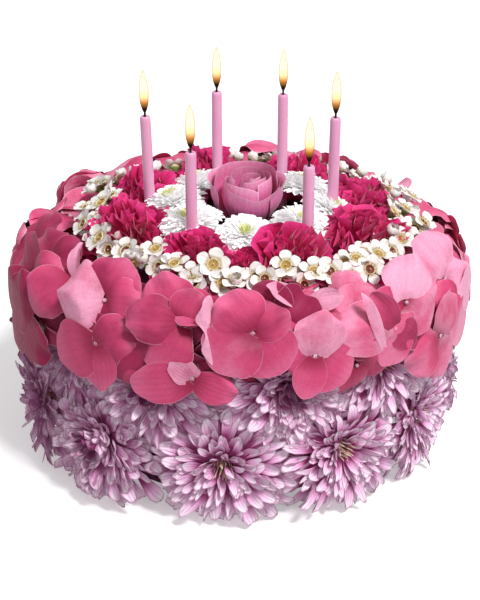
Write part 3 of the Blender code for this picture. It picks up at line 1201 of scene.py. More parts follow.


# The tints are partly tone that differs from sepal to sepal and partly painted light and shade: high tints darken
# sepals that sit in shade, on the left, in the bowl behind the front floret and in the gaps between florets, and low
# tints on the right pale the sepals there, as light falls from the right.
FRONT_FLORETS = (
    Floret(-35, 72, 7, (Sepal(262, 25, 32, -14, 0.6), Sepal(187, 25, 38, 16, -0.55, -0.2),
                        Sepal(66, 23, 31, 0, 0.45), Sepal(4, 21, 23, 10, 0.0, -0.1)), 20),
    Floret(-34, 6, 4, (Sepal(20, 22, 27, -6, 0.5), Sepal(204, 31, 32, 0, 0.0, -0.1),
                       Sepal(112, 15, 24, -20, 0.9), Sepal(276, 25, 23, -4, 0.05, -0.15)), 12),
    Floret(-14, 49, 3, (Sepal(235, 25, 36, -8, 0.1, -0.1), Sepal(180, 26, 26, 4, 0.4, -0.1),
                        Sepal(118, 27, 27, 6, 0.5), Sepal(55, 18, 20, 14, 0.2, 0.3)), 25),
    Floret(3, 38, 7, (Sepal(305, 26, 32, -6, 0.2, -0.1), Sepal(225, 28, 34, 2, 0.05, -0.1),
                      Sepal(30, 19, 24, 8, 0.4, 0.1), Sepal(128, 23, 29, 10, 0.2, -0.2)), 22),
    Floret(-5, 35, 6, (Sepal(180, 12, 38, 55, -1.1, 0.3),), 22),
    Floret(11, 48, -2, (Sepal(140, 23, 28, 2, 0.9, 0.6), Sepal(50, 19, 24, 4, 0.9, 0.6)), 35),
    Floret(18, 80, 4, (Sepal(166, 27, 11, 34, -0.9, 0.3), Sepal(352, 17, 12, 30, -0.8, 0.3)), 35),
    Floret(17, 2, 6, (Sepal(172, 18, 24, -8, 0.25), Sepal(76, 23, 29, 0, -0.35, -0.15),
                      Sepal(320, 23, 28, -4, 0.05, -0.1), Sepal(256, 23, 19, 6, -0.05, -0.1)), 12),
    Floret(38, 22, 3, (Sepal(318, 20, 19, 14, 0.7, 0.5), Sepal(172, 36, 31, 0, -0.1, -0.15),
                       Sepal(250, 19, 36, 0, 0.15), Sepal(122, 23, 14, 8, 0.75, 0.6)), 20),
    Floret(34.5, -4, 8, (Sepal(113, 33, 7, 10, -0.4, 0.3),), 20),
    Floret(43, 54, 8, (Sepal(312, 23, 24, -4, -0.2, -0.1), Sepal(70, 25, 28, 2, -0.85, -0.15),
                       Sepal(190, 20, 24, -10, 0.3), Sepal(20, 22, 26, -6, -0.1)), 22),
    Floret(64, 58, 5, (Sepal(0, 20, 30, 4, -0.5), Sepal(110, 28, 34, 0, -0.5),
                       Sepal(190, 20, 28, -2, 0.3), Sepal(262, 24, 28, -6, 0.45)), 24),
    Floret(66, 14, 4, (Sepal(20, 24, 28, 10, -0.9), Sepal(270, 24, 28, 0, -0.3), Sepal(170, 24, 28, -6, 0.2)), 14),
    Floret(55, -15, 3, (Sepal(60, 24, 28, -2, 0.0), Sepal(272, 25, 30, 0, -0.15, -0.1), Sepal(205, 26, 28, -4, 0.0)), 8),
    Floret(-10.4, -27, 5, (Sepal(338, 23, 18, -4, 0.4, -0.1), Sepal(192, 33, 23, -2, 0.15, -0.1),
                           Sepal(98, 11, 10, 40, -0.6, 0.6), Sepal(152, 17, 13, 36, -0.6, 0.6)), 5),
    Floret(-22, 6, -1, (Sepal(200, 26, 30, 0, 0.6), Sepal(275, 28, 32, 0, 0.7), Sepal(60, 24, 30, 0, 0.6))),
    Floret(-4, 74, 0, (Sepal(200, 24, 30, 10, 0.3), Sepal(300, 26, 32, 0, 0.3), Sepal(20, 24, 30, 10, 0.2))),
    Floret(26, 72, 0, (Sepal(190, 24, 30, 10, 0.0), Sepal(290, 26, 32, 0, 0.1), Sepal(10, 26, 32, 8, -0.1))),
    Floret(36, 50, -1, (Sepal(180, 26, 32, 6, 0.0), Sepal(275, 26, 32, 0, -0.1), Sepal(60, 24, 28, 10, 0.1))),
    Floret(28, -22, 0, (Sepal(200, 24, 28, 0, 0.3), Sepal(300, 25, 28, 0, 0.1), Sepal(20, 24, 28, 0, 0.2))),
    Floret(-24, -28, 0, (Sepal(220, 24, 28, 0, 0.5), Sepal(310, 25, 28, 0, 0.7), Sepal(100, 24, 28, 0, 0.6))),
    Floret(-66, 54, 4, (Sepal(228, 28, 27, -4, 0.7), Sepal(135, 27, 29, -4, 0.4),
                        Sepal(15, 27, 28, 2, 0.35), Sepal(272, 31, 30, 0, 0.6)), 26),
    Floret(-62, -4, 2, (Sepal(215, 26, 29, 0, 0.7), Sepal(110, 27, 30, -4, 0.8), Sepal(320, 26, 28, 0, 0.8)), 8),
    Floret(-88, 78, 3, (Sepal(290, 28, 24, -2, 0.5), Sepal(85, 20, 26, 4, 0.6), Sepal(200, 26, 28, -6, 0.5)), 40),
    Floret(-50, 84, 3, (Sepal(105, 22, 9, 22, -0.9, 0.3), Sepal(235, 28, 30, 6, 0.4), Sepal(330, 24, 28, 4, 0.5)), 40),
    Floret(-72, 86, 1, (Sepal(150, 24, 28, 4, 0.4), Sepal(40, 22, 26, 0, 0.5), Sepal(280, 26, 28, -4, 0.6)), 45),
    Floret(-118, 66, -1, (Sepal(80, 22, 28, -4, 0.25), Sepal(330, 22, 26, 0, 0.2), Sepal(210, 26, 28, -4, 0.3)), 50),
    Floret(-132, 76, 1, (Sepal(165, 20, 22, 6, -0.2), Sepal(62, 24, 24, 12, -0.6), Sepal(280, 24, 28, 0, 0.2)), 50),
    Floret(84, 62, -1, (Sepal(130, 22, 28, -4, -0.3), Sepal(330, 22, 26, -2, -0.3), Sepal(235, 24, 28, -4, 0.1)), 40),
    Floret(82, 20, 0, (Sepal(60, 26, 28, 0, -0.2), Sepal(150, 26, 28, 0, 0.1),
                       Sepal(240, 26, 28, 0, 0.1), Sepal(330, 26, 28, 0, -0.1))),
    Floret(106, 64, -3, (Sepal(120, 19, 24, -6, 0.0), Sepal(20, 18, 22, -4, -0.1), Sepal(235, 24, 28, 0, 0.1)), 50),
    Floret(127, 66, -2, (Sepal(100, 18, 22, 0, 0.0), Sepal(0, 18, 22, 0, 0.0), Sepal(240, 24, 28, 0, 0.3)), 50),
    Floret(144, 72, -1, (Sepal(100, 19, 22, 8, -0.2), Sepal(200, 20, 24, 0, 0.0), Sepal(300, 20, 24, 0, 0.0)), 50),
)


@dataclass(frozen=True)
class HydrangeaCollar:
    """The hanging collar of pink hydrangea florets over a dark underlayer of painted shade."""

    node: str = "hydrangea_collar"
    section: float = 21 * MM
    inset: float = 25.5 * MM
    pair_gap: float = 1.0 * MM
    wrap: float = 0.85
    stiffness: float = 0.85
    outward: float = 0.72
    painted_side_shade: float = 0.22
    side_drop: float = 9 * MM
    button_radius: float = 1.15 * MM
    underlay: float = 13 * MM
    back_from: float = 103.0
    back_to: float = 262.0
    tiers: tuple[float, ...] = (-24.0, 16.0, 54.0, 90.0)
    back_step: float = 21.0
    seed: int = 7
    shape: PetalShape = PetalShape(
        rows=13,
        columns=16,
        thickness=0.45 * MM,
        claw=0.36,
        widest_at=0.5,
        tip_width=0.8,
        tip_round=0.24,
        crease=0.1,
        ruffle=0.11,
        ruffle_waves=1.7,
        lobes=0.1,
    )

    def back_florets(self) -> list[Floret]:
        """The back florets, in staggered tiers."""
        rng = np.random.default_rng(self.seed)
        made = []
        for tier, climb in enumerate(self.tiers):
            for turn in np.arange(self.back_from + 7 * tier, self.back_to, self.back_step):
                roll = rng.uniform(0, 90)
                stray = rng.uniform(-1, 1, 3)
                sepals = tuple(
                    Sepal(
                        roll + 90 * quarter,
                        float(rng.uniform(25, 30)),
                        float(rng.uniform(28, 35)),
                        float(rng.normal(1, 5)),
                        float(rng.uniform(-0.5, 0.35)),
                    )
                    for quarter in range(4)
                )
                made.append(Floret(float(turn) + 3 * stray[0], climb + 8 * stray[1], 1.5 + 1.5 * stray[2], sepals))
        return made

    def inner_florets(self) -> list[Floret]:
        """Dark florets set in behind the front ones: their tints paint the shade in the gaps, darkest at the lower
        climbs.
        """
        rng = np.random.default_rng(self.seed)
        made = []
        for turn in np.arange(-120, 118, 16.0):
            for climb, tint in ((-32, 0.8), (24, 0.8), (82, 0.3), (112, 0.0)):
                roll = rng.uniform(0, 90)
                dark = tuple(Sepal(roll + 90 * quarter, 24, 28, 0.0, tint) for quarter in range(4))
                made.append(Floret(float(turn), climb, -6.5, dark))
        return made

    def ring_radius(self) -> float:
        """Distance of the section's middle from the axis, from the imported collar's box."""
        low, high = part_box(self.node)
        return (high[0] - low[0]) / 2 - self.inset

    def spine(self, turn: Numbers) -> Array:
        """The section's middle at these turns: level at the front and back, and lower at the sides."""
        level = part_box(self.node)[1][2] - self.section - self.side_drop * np.sin(turn) ** 2
        return self.ring_radius() * direction(turn, 0.0) + np.asarray(level)[..., None] * np.array([0.0, 0.0, 1.0])

    def pose(self, florets: list[Floret]) -> Pose:
        """Seats florets on the section, then out by the lift the way they look."""
        turns = np.radians([floret.turn for floret in florets])
        climbs = np.radians([floret.climb for floret in florets])
        looks = np.radians([floret.climb if floret.look is None else floret.look for floret in florets])
        shares = np.array([1.0 if floret.look is None else self.outward for floret in florets])
        lifts = np.array([floret.lift for floret in florets]) * MM
        forward = direction(turns * shares, looks)
        origins = self.spine(turns) + self.section * direction(turns, climbs) + lifts[:, None] * forward
        return Pose.facing(origins, forward)

    def flat_sepals(self, florets: list[Floret]) -> Petals:
        """All the sepals in their florets' own planes.

        Every other sepal of a floret starts a little higher. Folded ones arch back, and the edges of
        those that run round the cake drop. A painted side shade pales the right side and darkens the left,
        as the key light falls from the right.
        """
        rng = np.random.default_rng(self.seed)
        rows = [(order, sepal) for floret in florets for order, sepal in enumerate(floret.sepals)]
        names = ("aim", "length", "width", "fold", "tint", "curl")
        aim, length, width, fold, tint, curl = np.array([[getattr(sepal, name) for name in names] for _, sepal in rows]).T
        aim, fold, count = np.radians(aim), np.radians(fold), len(rows)
        folded = fold > math.radians(25)
        raised = self.pair_gap * np.array([order % 2 for order, _ in rows])
        root = np.stack([np.full(count, 1.0 * MM), raised], axis=1)
        tip = root + MM * length[:, None] * np.stack([np.cos(fold), np.sin(fold)], axis=1)
        arch = np.where(folded, -0.12, rng.uniform(0.05, 0.4, count))
        cups = curl + rng.uniform(-0.3, 0.1, count) - np.where(folded, 0.0, 0.2 * np.cos(aim) ** 2)
        sides = np.sin(np.radians([floret.turn for floret in florets for _ in floret.sepals]))
        # Painted side shade: sepals on the left are tinted darker and those on the right paler.
        bloom = np.stack([np.ones(count), rng.random(count), tint - self.painted_side_shade * sides], axis=1)
        return radial_petals(aim, arched(root, tip, arch), 0.5 * MM * width, cups, rng.normal(0, 0.22, count), bloom)

    def sepals(self, florets: list[Floret]) -> Petals:
        """All the sepals on the collar.

        Where a floret has no look, a guide's place right of it becomes a turn round the cake, its
        place above becomes a climb round the section, by the wrap, and its height stays its height
        over the section. Where it has one, guides keep mostly to its plane.

        Args:
            florets: the florets.

        Returns:
            The sepals.
        """
        flat = self.flat_sepals(florets)
        owner = np.repeat(np.arange(len(florets)), [len(floret.sepals) for floret in florets])
        seats = self.pose([florets[number] for number in owner])
        turns, climbs, lifts, stiff = (
            np.array([value for floret in florets for value in [part(floret)] * len(floret.sepals)])[:, None]
            for part in (
                lambda floret: math.radians(floret.turn),
                lambda floret: math.radians(floret.climb),
                lambda floret: floret.lift * MM,
                lambda floret: 0.0 if floret.look is None else self.stiffness,
            )
        )
        right, above, height = np.moveaxis(flat.guides, -1, 0)
        turn = turns + right / (self.ring_radius() + self.section * np.cos(climbs))
        climb = climbs + self.wrap * above / self.section
        wrapped = self.spine(turn) + (self.section + lifts + height)[..., None] * direction(turn, climb)
        guides = stiff[..., None] * seats.place(flat.guides) + (1 - stiff[..., None]) * wrapped
        return replace(flat, guides=guides, sides=seats.turn(flat.sides[:, None])[:, 0])

    def buttons(self, pose: Pose) -> Skin:
        """The small round button in each whole floret's middle."""
        angle = np.linspace(-0.5 * np.pi, 0.5 * np.pi, 6)
        profile = self.button_radius * np.stack([np.cos(angle), np.sin(angle) + 0.7], axis=1)
        profile[[0, -1], 0] = 0.0
        skin = Skin()
        add_turned(skin, profile, 9, pose, np.zeros((len(pose.scales), 3)))
        return skin

    def under(self) -> Skin:
        """A dark hoop behind the florets, painted shade for the gaps between them: a round section carried round the
        cake, its radius rippling.
        """
        around, across = 96, 20
        turn = np.linspace(0, 2 * np.pi, around, endpoint=False)[:, None]
        climb = np.linspace(0, 2 * np.pi, across, endpoint=False)[None]
        radius = self.underlay + 1.2 * MM * np.sin(9 * turn + 2 * climb) + 0.8 * MM * np.sin(23 * turn - 3 * climb)
        points = self.spine(turn) + radius[..., None] * direction(turn, climb)
        grid = np.arange(around * across).reshape(around, across)
        onward, upward = np.roll(grid, -1, axis=0), np.roll(grid, -1, axis=1)
        both = np.roll(onward, -1, axis=1)
        faces = np.stack([grid, onward, both, upward], axis=-1).reshape(-1, 4)
        skin = Skin()
        skin.add(points.reshape(1, -1, 3), [faces], np.zeros(3), np.zeros(3))
        return skin

    def build(self) -> list[bpy.types.Object]:
        """Makes the sepals, the buttons and the underlayer, and dresses them."""
        groups = (
            (list(FRONT_FLORETS), self.shape),
            (self.back_florets(), replace(self.shape, rows=9, columns=10)),
            (self.inner_florets(), replace(self.shape, rows=5, columns=6)),
        )
        skin = Skin()
        for florets, shape in groups:
            shape.clothe(skin, self.sepals(florets))
        whole = [floret for florets, _ in groups for floret in florets if len(floret.sepals) > 2]
        sepals = skin.make("hydrangea_sepals", PINK_SEPAL.material())
        buttons = self.buttons(self.pose(whole)).make("hydrangea_buttons", CREAM_BUTTON.material())
        under = self.under().make("hydrangea_underlayer", COLLAR_SHADE.material())
        settle(sepals, [self.node])
        settle(buttons, [])
        settle(under, [])
        return [sepals, buttons, under]


class CupKind(Enum):
    """What a waxflower's cup shows, as the tint its finish reads."""

    MAROON = 0.0
    GOLDEN = 1.0
    BUD = 0.5


@dataclass(frozen=True)
class Waxflower:
    """One waxflower: its turn and distance round the wreath, its height over the wreath, and its kind.

    turn is in degrees, distance and rise are in mm. climb is the degrees that it looks up.
    """

    turn: float
    distance: float
    rise: float
    kind: CupKind = CupKind.MAROON
    climb: float = 40.0
    size: float = 1.0


FRONT_WAXFLOWERS = (
    Waxflower(2, 86, 2, CupKind.MAROON, 30),
    Waxflower(11, 91, 1, CupKind.MAROON, 32),
    Waxflower(12, 86, 8, CupKind.GOLDEN, 45),
    Waxflower(17, 93, -1, CupKind.MAROON, 30),
    Waxflower(21, 90, 5, CupKind.GOLDEN, 60),
    Waxflower(26, 92, 4, CupKind.MAROON, 40),
    Waxflower(32, 97, 1, CupKind.MAROON, 35),
    Waxflower(39, 97, 2, CupKind.MAROON, 35),
    Waxflower(37, 90, 7, CupKind.GOLDEN, 70),
    Waxflower(54, 92, 3, CupKind.MAROON, 35),
    Waxflower(46, 92, 6, CupKind.GOLDEN, 60),
    Waxflower(85, 80, 7, CupKind.GOLDEN, 45),
    Waxflower(72, 87, 5, CupKind.GOLDEN, 60),
    Waxflower(77, 92, 3, CupKind.MAROON, 60),
    Waxflower(62, 84, 7, CupKind.BUD, 60),
    Waxflower(-5, 88, 2, CupKind.MAROON, 70),
    Waxflower(-13, 83, 7, CupKind.GOLDEN, 40, 1.1),
    Waxflower(-111, 94, 7, CupKind.MAROON, 50, 1.1),
    Waxflower(-117, 86, 10, CupKind.GOLDEN, 60, 1.1),
    Waxflower(-92, 82, 9, CupKind.GOLDEN, 60, 1.1),
    Waxflower(-98, 78, 10, CupKind.MAROON, 70),
    Waxflower(-72, 82, 8, CupKind.GOLDEN, 60, 1.1),
    Waxflower(-62, 90, 6, CupKind.GOLDEN, 40, 1.1),
    Waxflower(-47, 88, 6, CupKind.MAROON, 50, 1.05),
    Waxflower(-78, 92, 5, CupKind.MAROON, 30),
    Waxflower(80, 96, 5, CupKind.MAROON, 50),
    Waxflower(104, 94, 6, CupKind.GOLDEN, 60),
    Waxflower(-9, 89, 0, CupKind.GOLDEN, 35),
    Waxflower(-18, 92, 0, CupKind.MAROON, 35),
    Waxflower(-41, 91, 3, CupKind.GOLDEN, 30),
    Waxflower(-31, 90, 4, CupKind.MAROON, 20, 0.9),
    Waxflower(-36, 92, 6, CupKind.BUD, 60),
    Waxflower(-26, 88, 7, CupKind.GOLDEN, 70),
    Waxflower(-37, 81, 9, CupKind.GOLDEN, 65, 0.9),
    Waxflower(-55, 90, 3, CupKind.MAROON, 20),
    Waxflower(-71, 88, 3, CupKind.GOLDEN, 45),
    Waxflower(-65, 83, 7, CupKind.BUD, 60),
    Waxflower(-83, 83, 6, CupKind.GOLDEN, 50),
    Waxflower(-104, 81, 8, CupKind.MAROON, 30, 1.1),
    Waxflower(-107, 92, 6, CupKind.BUD, 60, 0.9),
    Waxflower(-113, 92, 9, CupKind.GOLDEN, 80),
    Waxflower(-122, 85, 9, CupKind.BUD, 60, 0.9),
    Waxflower(-93, 90, 6, CupKind.MAROON, 75),
    Waxflower(91, 87, 6, CupKind.GOLDEN, 60),
    Waxflower(100, 82, 8, CupKind.BUD, 70, 0.9),
)


@dataclass(frozen=True)
class WaxflowerWreath:
    """The ring of small white waxflowers, with their cups, stamens and green stems."""

    node: str = "waxflower_wreath"
    petal_length: float = 6.0 * MM
    petal_half_width: float = 3.3 * MM
    petal_root: float = 2.3 * MM
    cup_radius: float = 3.1 * MM
    cup_depth: float = 1.8 * MM
    stem_length: float = 11 * MM
    stamens: int = 10
    back_from: float = 108.0
    back_to: float = 232.0
    back_step: float = 5.2
    fill_step: float = 6.0
    seed: int = 21
    shape: PetalShape = PetalShape(
        rows=5, columns=4, thickness=0.5 * MM, claw=0.4, widest_at=0.55, tip_width=0.78, tip_round=0.2
    )

    def all_flowers(self) -> list[Waxflower]:
        """The front flowers, then the back ones in two rows that wander."""
        rng = np.random.default_rng(self.seed)
        made = list(FRONT_WAXFLOWERS)
        kinds = list(CupKind)
        for number, turn in enumerate(np.arange(self.back_from, self.back_to, self.back_step)):
            outer = number % 2
            jitter = rng.uniform(-1, 1, 4)
            made.append(
                Waxflower(
                    float(turn) + 2 * jitter[0],
                    81 + 9 * outer + 2 * jitter[1],
                    7 - 3 * outer + jitter[2],
                    kinds[int(rng.integers(3))],
                    50 + 22 * jitter[3],
                    float(rng.uniform(0.88, 1.08)),
                )
            )
        for number, turn in enumerate(np.arange(-120.0, 235.0, self.fill_step)):
            jitter = rng.uniform(-1, 1, 4)
            kind = kinds[int(rng.integers(3))]
            place = 81 + 8 * (number % 2) + 2 * jitter[1]
            made.append(Waxflower(float(turn) + 2 * jitter[0], place, 2 + 2 * jitter[2], kind, 62 + 20 * jitter[3], 0.9))
        return made

    def pose(self, flowers: list[Waxflower]) -> Pose:
        """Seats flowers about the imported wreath's middle."""
        rng = np.random.default_rng(self.seed)
        turns = np.radians([flower.turn for flower in flowers])
        distances = np.array([flower.distance for flower in flowers]) * MM
        rises = np.array([flower.rise for flower in flowers]) * MM
        climbs = np.radians([flower.climb for flower in flowers])
        sizes = np.array([flower.size for flower in flowers])
        forward = direction(turns * 0.85 + rng.normal(0, 0.16, len(flowers)), climbs)
        origins = node_centre(self.node) + distances[:, None] * direction(turns, 0.0)
        origins[:, 2] += rises
        return Pose.facing(origins, forward, rng.uniform(0, 2 * np.pi, len(flowers)), sizes)

    def petals(self, flowers: list[Waxflower]) -> Petals:
        """Five round petals a flower: spread flat when open, closed up into a ball in a bud."""
        rng = np.random.default_rng(self.seed)
        count = 5 * len(flowers)
        closed = np.repeat([flower.kind is CupKind.BUD for flower in flowers], 5)
        rise = np.where(closed, math.radians(78), rng.normal(math.radians(14), 0.16, count))
        root = np.stack([np.where(closed, 1.4 * MM, self.petal_root), np.zeros(count)], axis=1)
        tip = root + self.petal_length * np.stack([np.cos(rise), np.sin(rise)], axis=1)
        turns = np.tile(2 * np.pi * np.arange(5) / 5, len(flowers)) + rng.normal(0, 0.07, count)
        arch = np.where(closed, -0.35, -0.1)
        cups = np.where(closed, 0.7, 0.3)
        widths = np.full(count, self.petal_half_width)
        petals = radial_petals(turns, arched(root, tip, arch), widths, cups, np.zeros(count), marks_of(np.ones(count)))
        return petals.varied(rng, 0.03, 0.08, 0.1)

    def cups(self, pose: Pose, flowers: list[Waxflower]) -> Skin:
        """A cup a flower: a cone below, a rolled rim, a hollow, and a peg in the hollow's middle."""
        radius, depth = self.cup_radius, self.cup_depth
        profile = np.array(
            [
                (0.0, -2.2 * depth),
                (0.45 * radius, -1.9 * depth),
                (0.85 * radius, -0.9 * depth),
                (1.0 * radius, 0.15 * depth),
                (0.9 * radius, 0.3 * depth),
                (0.72 * radius, 0.05 * depth),
                (0.5 * radius, -0.25 * depth),
                (0.14 * radius, -0.3 * depth),
                (0.1 * radius, 0.5 * depth),
                (0.0, 0.6 * depth),
            ]
        )
        skin = Skin()
        bloom = np.stack([np.zeros(len(flowers)), np.zeros(len(flowers)), [f.kind.value for f in flowers]], axis=1)
        add_turned(skin, profile, 12, pose, bloom)
        return skin

    def stamen_beads(self, pose: Pose) -> Skin:
        """Tiny beads round each cup's rim."""
        copies = len(pose.scales)
        angle = 2 * np.pi * np.arange(self.stamens) / self.stamens
        ring = 0.95 * self.cup_radius
        spots = np.stack([ring * np.cos(angle), ring * np.sin(angle), np.full_like(angle, 0.75 * self.cup_depth)], axis=1)
        origins = pose.place(spots).reshape(-1, 3)
        forward = np.repeat(pose.axes[:, :, 2], self.stamens, axis=0)
        beads = Pose.facing(origins, forward)
        size = 0.32 * MM
        profile = np.array([(0.0, -2 * size), (0.45 * size, -1.2 * size), (size, 0.0), (0.0, size)])
        skin = Skin()
        add_turned(skin, profile, 5, beads, np.zeros((copies * self.stamens, 3)))
        return skin

    def stems(self, pose: Pose) -> Skin:
        """A thin green stalk under each cup, leaning back towards the drum."""
        back = Pose(pose.origins, pose.axes, pose.scales)
        length = self.stem_length
        profile = np.array(
            [(0.0, -length), (0.7 * MM, -0.95 * length), (0.8 * MM, -0.5 * length), (1.5 * MM, -0.28 * length), (0.0, -0.2 * length)]
        )
        skin = Skin()
        add_turned(skin, profile, 6, back, np.zeros((len(pose.scales), 3)))
        return skin

    def build(self) -> list[bpy.types.Object]:
        """Makes the petals, cups, stamens and stems, and dresses them."""
        flowers = self.all_flowers()
        pose = self.pose(flowers)
        skin = Skin()
        self.shape.clothe(skin, self.petals(flowers).seated(pose))
        open_rows = np.array([flower.kind is not CupKind.BUD for flower in flowers])
        open_pose = Pose(pose.origins[open_rows], pose.axes[open_rows], pose.scales[open_rows])
        open_flowers = [flower for flower in flowers if flower.kind is not CupKind.BUD]
        made = [
            skin.make("waxflower_petals", WHITE_WAX.material()),
            self.cups(open_pose, open_flowers).make("waxflower_cups", CUP.material()),
            self.stamen_beads(open_pose).make("waxflower_stamens", CUP_RIM.material()),
            self.stems(pose).make("waxflower_stems", STEM.material()),
        ]
        for number, piece in enumerate(made):
            settle(piece, [] if number else [self.node])
        return made


@dataclass(frozen=True)
class Carnations:
    """The ring of magenta carnations: frilled petals with toothed rims."""

    nodes: list[str]
    petal_count: int = 42
    guard_count: int = 6
    length: float = 25 * MM
    half_width: float = 12 * MM
    sink: float = 5 * MM
    filler: tuple[float, float, float] = (-2.0, 63.0, 0.72)
    seed: int = 5
    shape: PetalShape = PetalShape(
        rows=7,
        columns=14,
        thickness=0.4 * MM,
        claw=0.18,
        widest_at=0.96,
        tip_width=1.0,
        tip_round=0.18,
        ruffle=0.4,
        ruffle_waves=3.6,
        serration=0.04,
        serration_teeth=9.0,
    )
    guard_shape: PetalShape = PetalShape(
        rows=7,
        columns=10,
        thickness=0.4 * MM,
        claw=0.2,
        widest_at=0.8,
        tip_width=0.9,
        tip_round=0.25,
        ruffle=0.12,
        ruffle_waves=2.3,
    )

    def guards(self) -> Petals:
        """The few broad smooth petals round a bloom, that stand up and curve over."""
        share = steps(self.guard_count)
        lean = np.radians(34 + 18 * np.sin(9 * share))
        root = np.full((self.guard_count, 2), 2.0 * MM)
        tip = root + self.length * np.stack([np.sin(lean), np.cos(lean)], axis=1)
        widths = np.full(self.guard_count, 14 * MM)
        bloom = marks_of(np.ones(self.guard_count))
        return radial_petals(2 * np.pi * share, arched(root, tip, 0.14), widths, 0.3 + 0 * share, 0 * share, bloom)

    def bloom(self) -> Petals:
        """One bloom that looks along +Z: petals step round by the golden angle and lean out more and more."""
        share = steps(self.petal_count)
        lean = np.radians(8 + 74 * share**0.8)
        length = self.length * (1.0 - 0.12 * share)
        root = np.stack([1.5 * MM * share + 0.5 * MM, 6 * MM - 4 * MM * share], axis=1)
        tip = root + length[:, None] * np.stack([np.sin(lean), np.cos(lean)], axis=1)
        turns = GOLDEN_ANGLE * np.arange(self.petal_count)
        widths = self.half_width * (0.6 + 0.5 * share)
        cups = 0.35 - 0.4 * share
        return radial_petals(turns, arched(root, tip, 0.08), widths, cups, np.zeros_like(share), marks_of(share))

    def build(self) -> list[bpy.types.Object]:
        """Makes all the carnations, and the small one that fills the front gap, as one dressed piece."""
        rng = np.random.default_rng(self.seed)
        boxes = [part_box(node) for node in self.nodes]
        middles = np.array([node_centre(node) for node in self.nodes])
        top = node_centre("rose")
        outward = middles - top
        turns = np.arctan2(outward[:, 0], -outward[:, 1])
        origins = middles.copy()
        origins[:, 2] = [box[0][2] for box in boxes]
        origins[:, 2] -= self.sink
        turn, distance, size = self.filler
        between = top + distance * MM * direction(math.radians(turn), 0.0)
        between[2] = origins[:, 2].mean()
        origins = np.vstack([origins, between])
        turns = np.append(turns, math.radians(turn))
        climbs = np.radians(66) + rng.normal(0, 0.12, len(turns))
        scales = rng.uniform(0.95, 1.08, len(turns))
        scales[-1] = size
        pose = Pose.facing(origins, direction(turns, climbs), rng.uniform(0, 6, len(turns)), scales)
        skin = Skin()
        petals = self.bloom().repeated(len(turns)).varied(rng, 0.1, 0.25, 0.35)
        self.shape.clothe(skin, petals.seated(pose))
        guards = self.guards().repeated(len(turns)).varied(rng, 0.12, 0.2, 0.2)
        self.guard_shape.clothe(skin, guards.seated(pose))
        piece = skin.make("carnation_petals", MAGENTA.material())
        settle(piece, self.nodes)
        return [piece]


@dataclass(frozen=True)
class ButtonMums:
    """The ring of white button chrysanthemums with yellow-green middles."""

    nodes: list[str]
    petal_count: int = 230
    radius: float = 18.5 * MM
    crown: float = 27 * MM
    seed: int = 9
    shape: PetalShape = PetalShape(
        rows=4, columns=2, thickness=0.5 * MM, claw=0.6, widest_at=0.7, tip_width=0.85, tip_round=0.08
    )

    def bloom(self) -> Petals:
        """One bloom that looks along +Z: short stubs in the middle, longer straps outward, tips on a dome."""
        share = steps(self.petal_count)
        reach = self.radius * (0.08 + 0.92 * share**0.6)
        height = self.crown - 2 * MM * (1 - share) ** 2 - 13 * MM * (reach / self.radius) ** 2.6
        root = np.stack([0.5 * MM + 5 * MM * share, self.crown - (7 + 6 * share) * MM], axis=1)
        turns = GOLDEN_ANGLE * np.arange(self.petal_count)
        midline = arched(root, np.stack([reach, height], axis=1), 0.02 + 0.22 * share)
        widths = (0.9 + 0.8 * share) * MM
        return radial_petals(turns, midline, widths, 0.6 - 0.2 * share, np.zeros_like(share), marks_of(share))

    def build(self) -> list[bpy.types.Object]:
        """Makes all the button mums as one piece and dresses it."""
        rng = np.random.default_rng(self.seed)
        middles = np.array([node_centre(node) for node in self.nodes])
        outward = middles - node_centre("rose")
        turns = np.arctan2(outward[:, 0], -outward[:, 1])
        origins = middles.copy()
        origins[:, 2] = [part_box(node)[0][2] for node in self.nodes]
        climbs = np.radians(72) + rng.normal(0, 0.1, len(turns))
        pose = Pose.facing(origins, direction(turns, climbs), rng.uniform(0, 6, len(turns)), rng.uniform(0.96, 1.08, len(turns)))
        skin = Skin()
        petals = self.bloom().repeated(len(turns)).varied(rng, 0.06, 0.2, 0.2)
        self.shape.clothe(skin, petals.seated(pose))
        piece = skin.make("white_button_petals", WHITE_PETAL.material())
        settle(piece, self.nodes)
        return [piece]


@dataclass(frozen=True)
class RosePetal:
    """One wrapped rose petal.

    turn is where its middle looks, and half_span how far it wraps to each side, in degrees. The rest
    is in mm: its radius at the belly, its rim's height, how far the rim narrows in, how far its lip
    rolls out, how much further out its counter-clockwise side lies, and how far the rim dips or
    peaks in the middle.
    """

    turn: float
    half_span: float
    radius: float
    height: float
    narrow: float = 0.0
    lip: float = 0.0
    spiral: float = 0.0
    peak: float = 0.0
    shoulders: float = 6.0


ROSE_PETALS = (
    RosePetal(-20, 178, 3.2, 33, 0.8, 0.0, 1.8, 0.0, 0.5),
    RosePetal(150, 150, 5.6, 35, 1.2, 0.2, 2.4, 0.0, 1.5),
    RosePetal(60, 105, 8.4, 33.5, 1.5, 0.5, 2.8, 1.5, 1.0),
    RosePetal(205, 105, 11.0, 37, 2.0, 0.5, 3.2, 0.5, 2.5),
    RosePetal(105, 80, 13.0, 35, 2.0, 0.8, 3.0, 1.0, 2.0),
    RosePetal(-60, 80, 14.6, 34, 1.5, 0.9, 3.0, 0.0, 3.0),
    RosePetal(182, 95, 17.6, 38.5, 2.0, 1.0, 2.0, 0.0, 3.0),
    RosePetal(18, 72, 16.6, 29.5, 0.5, 0.9, 1.5, -3.0, -5.0),
    RosePetal(-112, 62, 19.6, 36, -0.5, 1.6, 1.0, 0.0, 3.0),
    RosePetal(98, 56, 19.8, 34, -0.5, 1.4, 1.5, 0.0, 4.0),
)


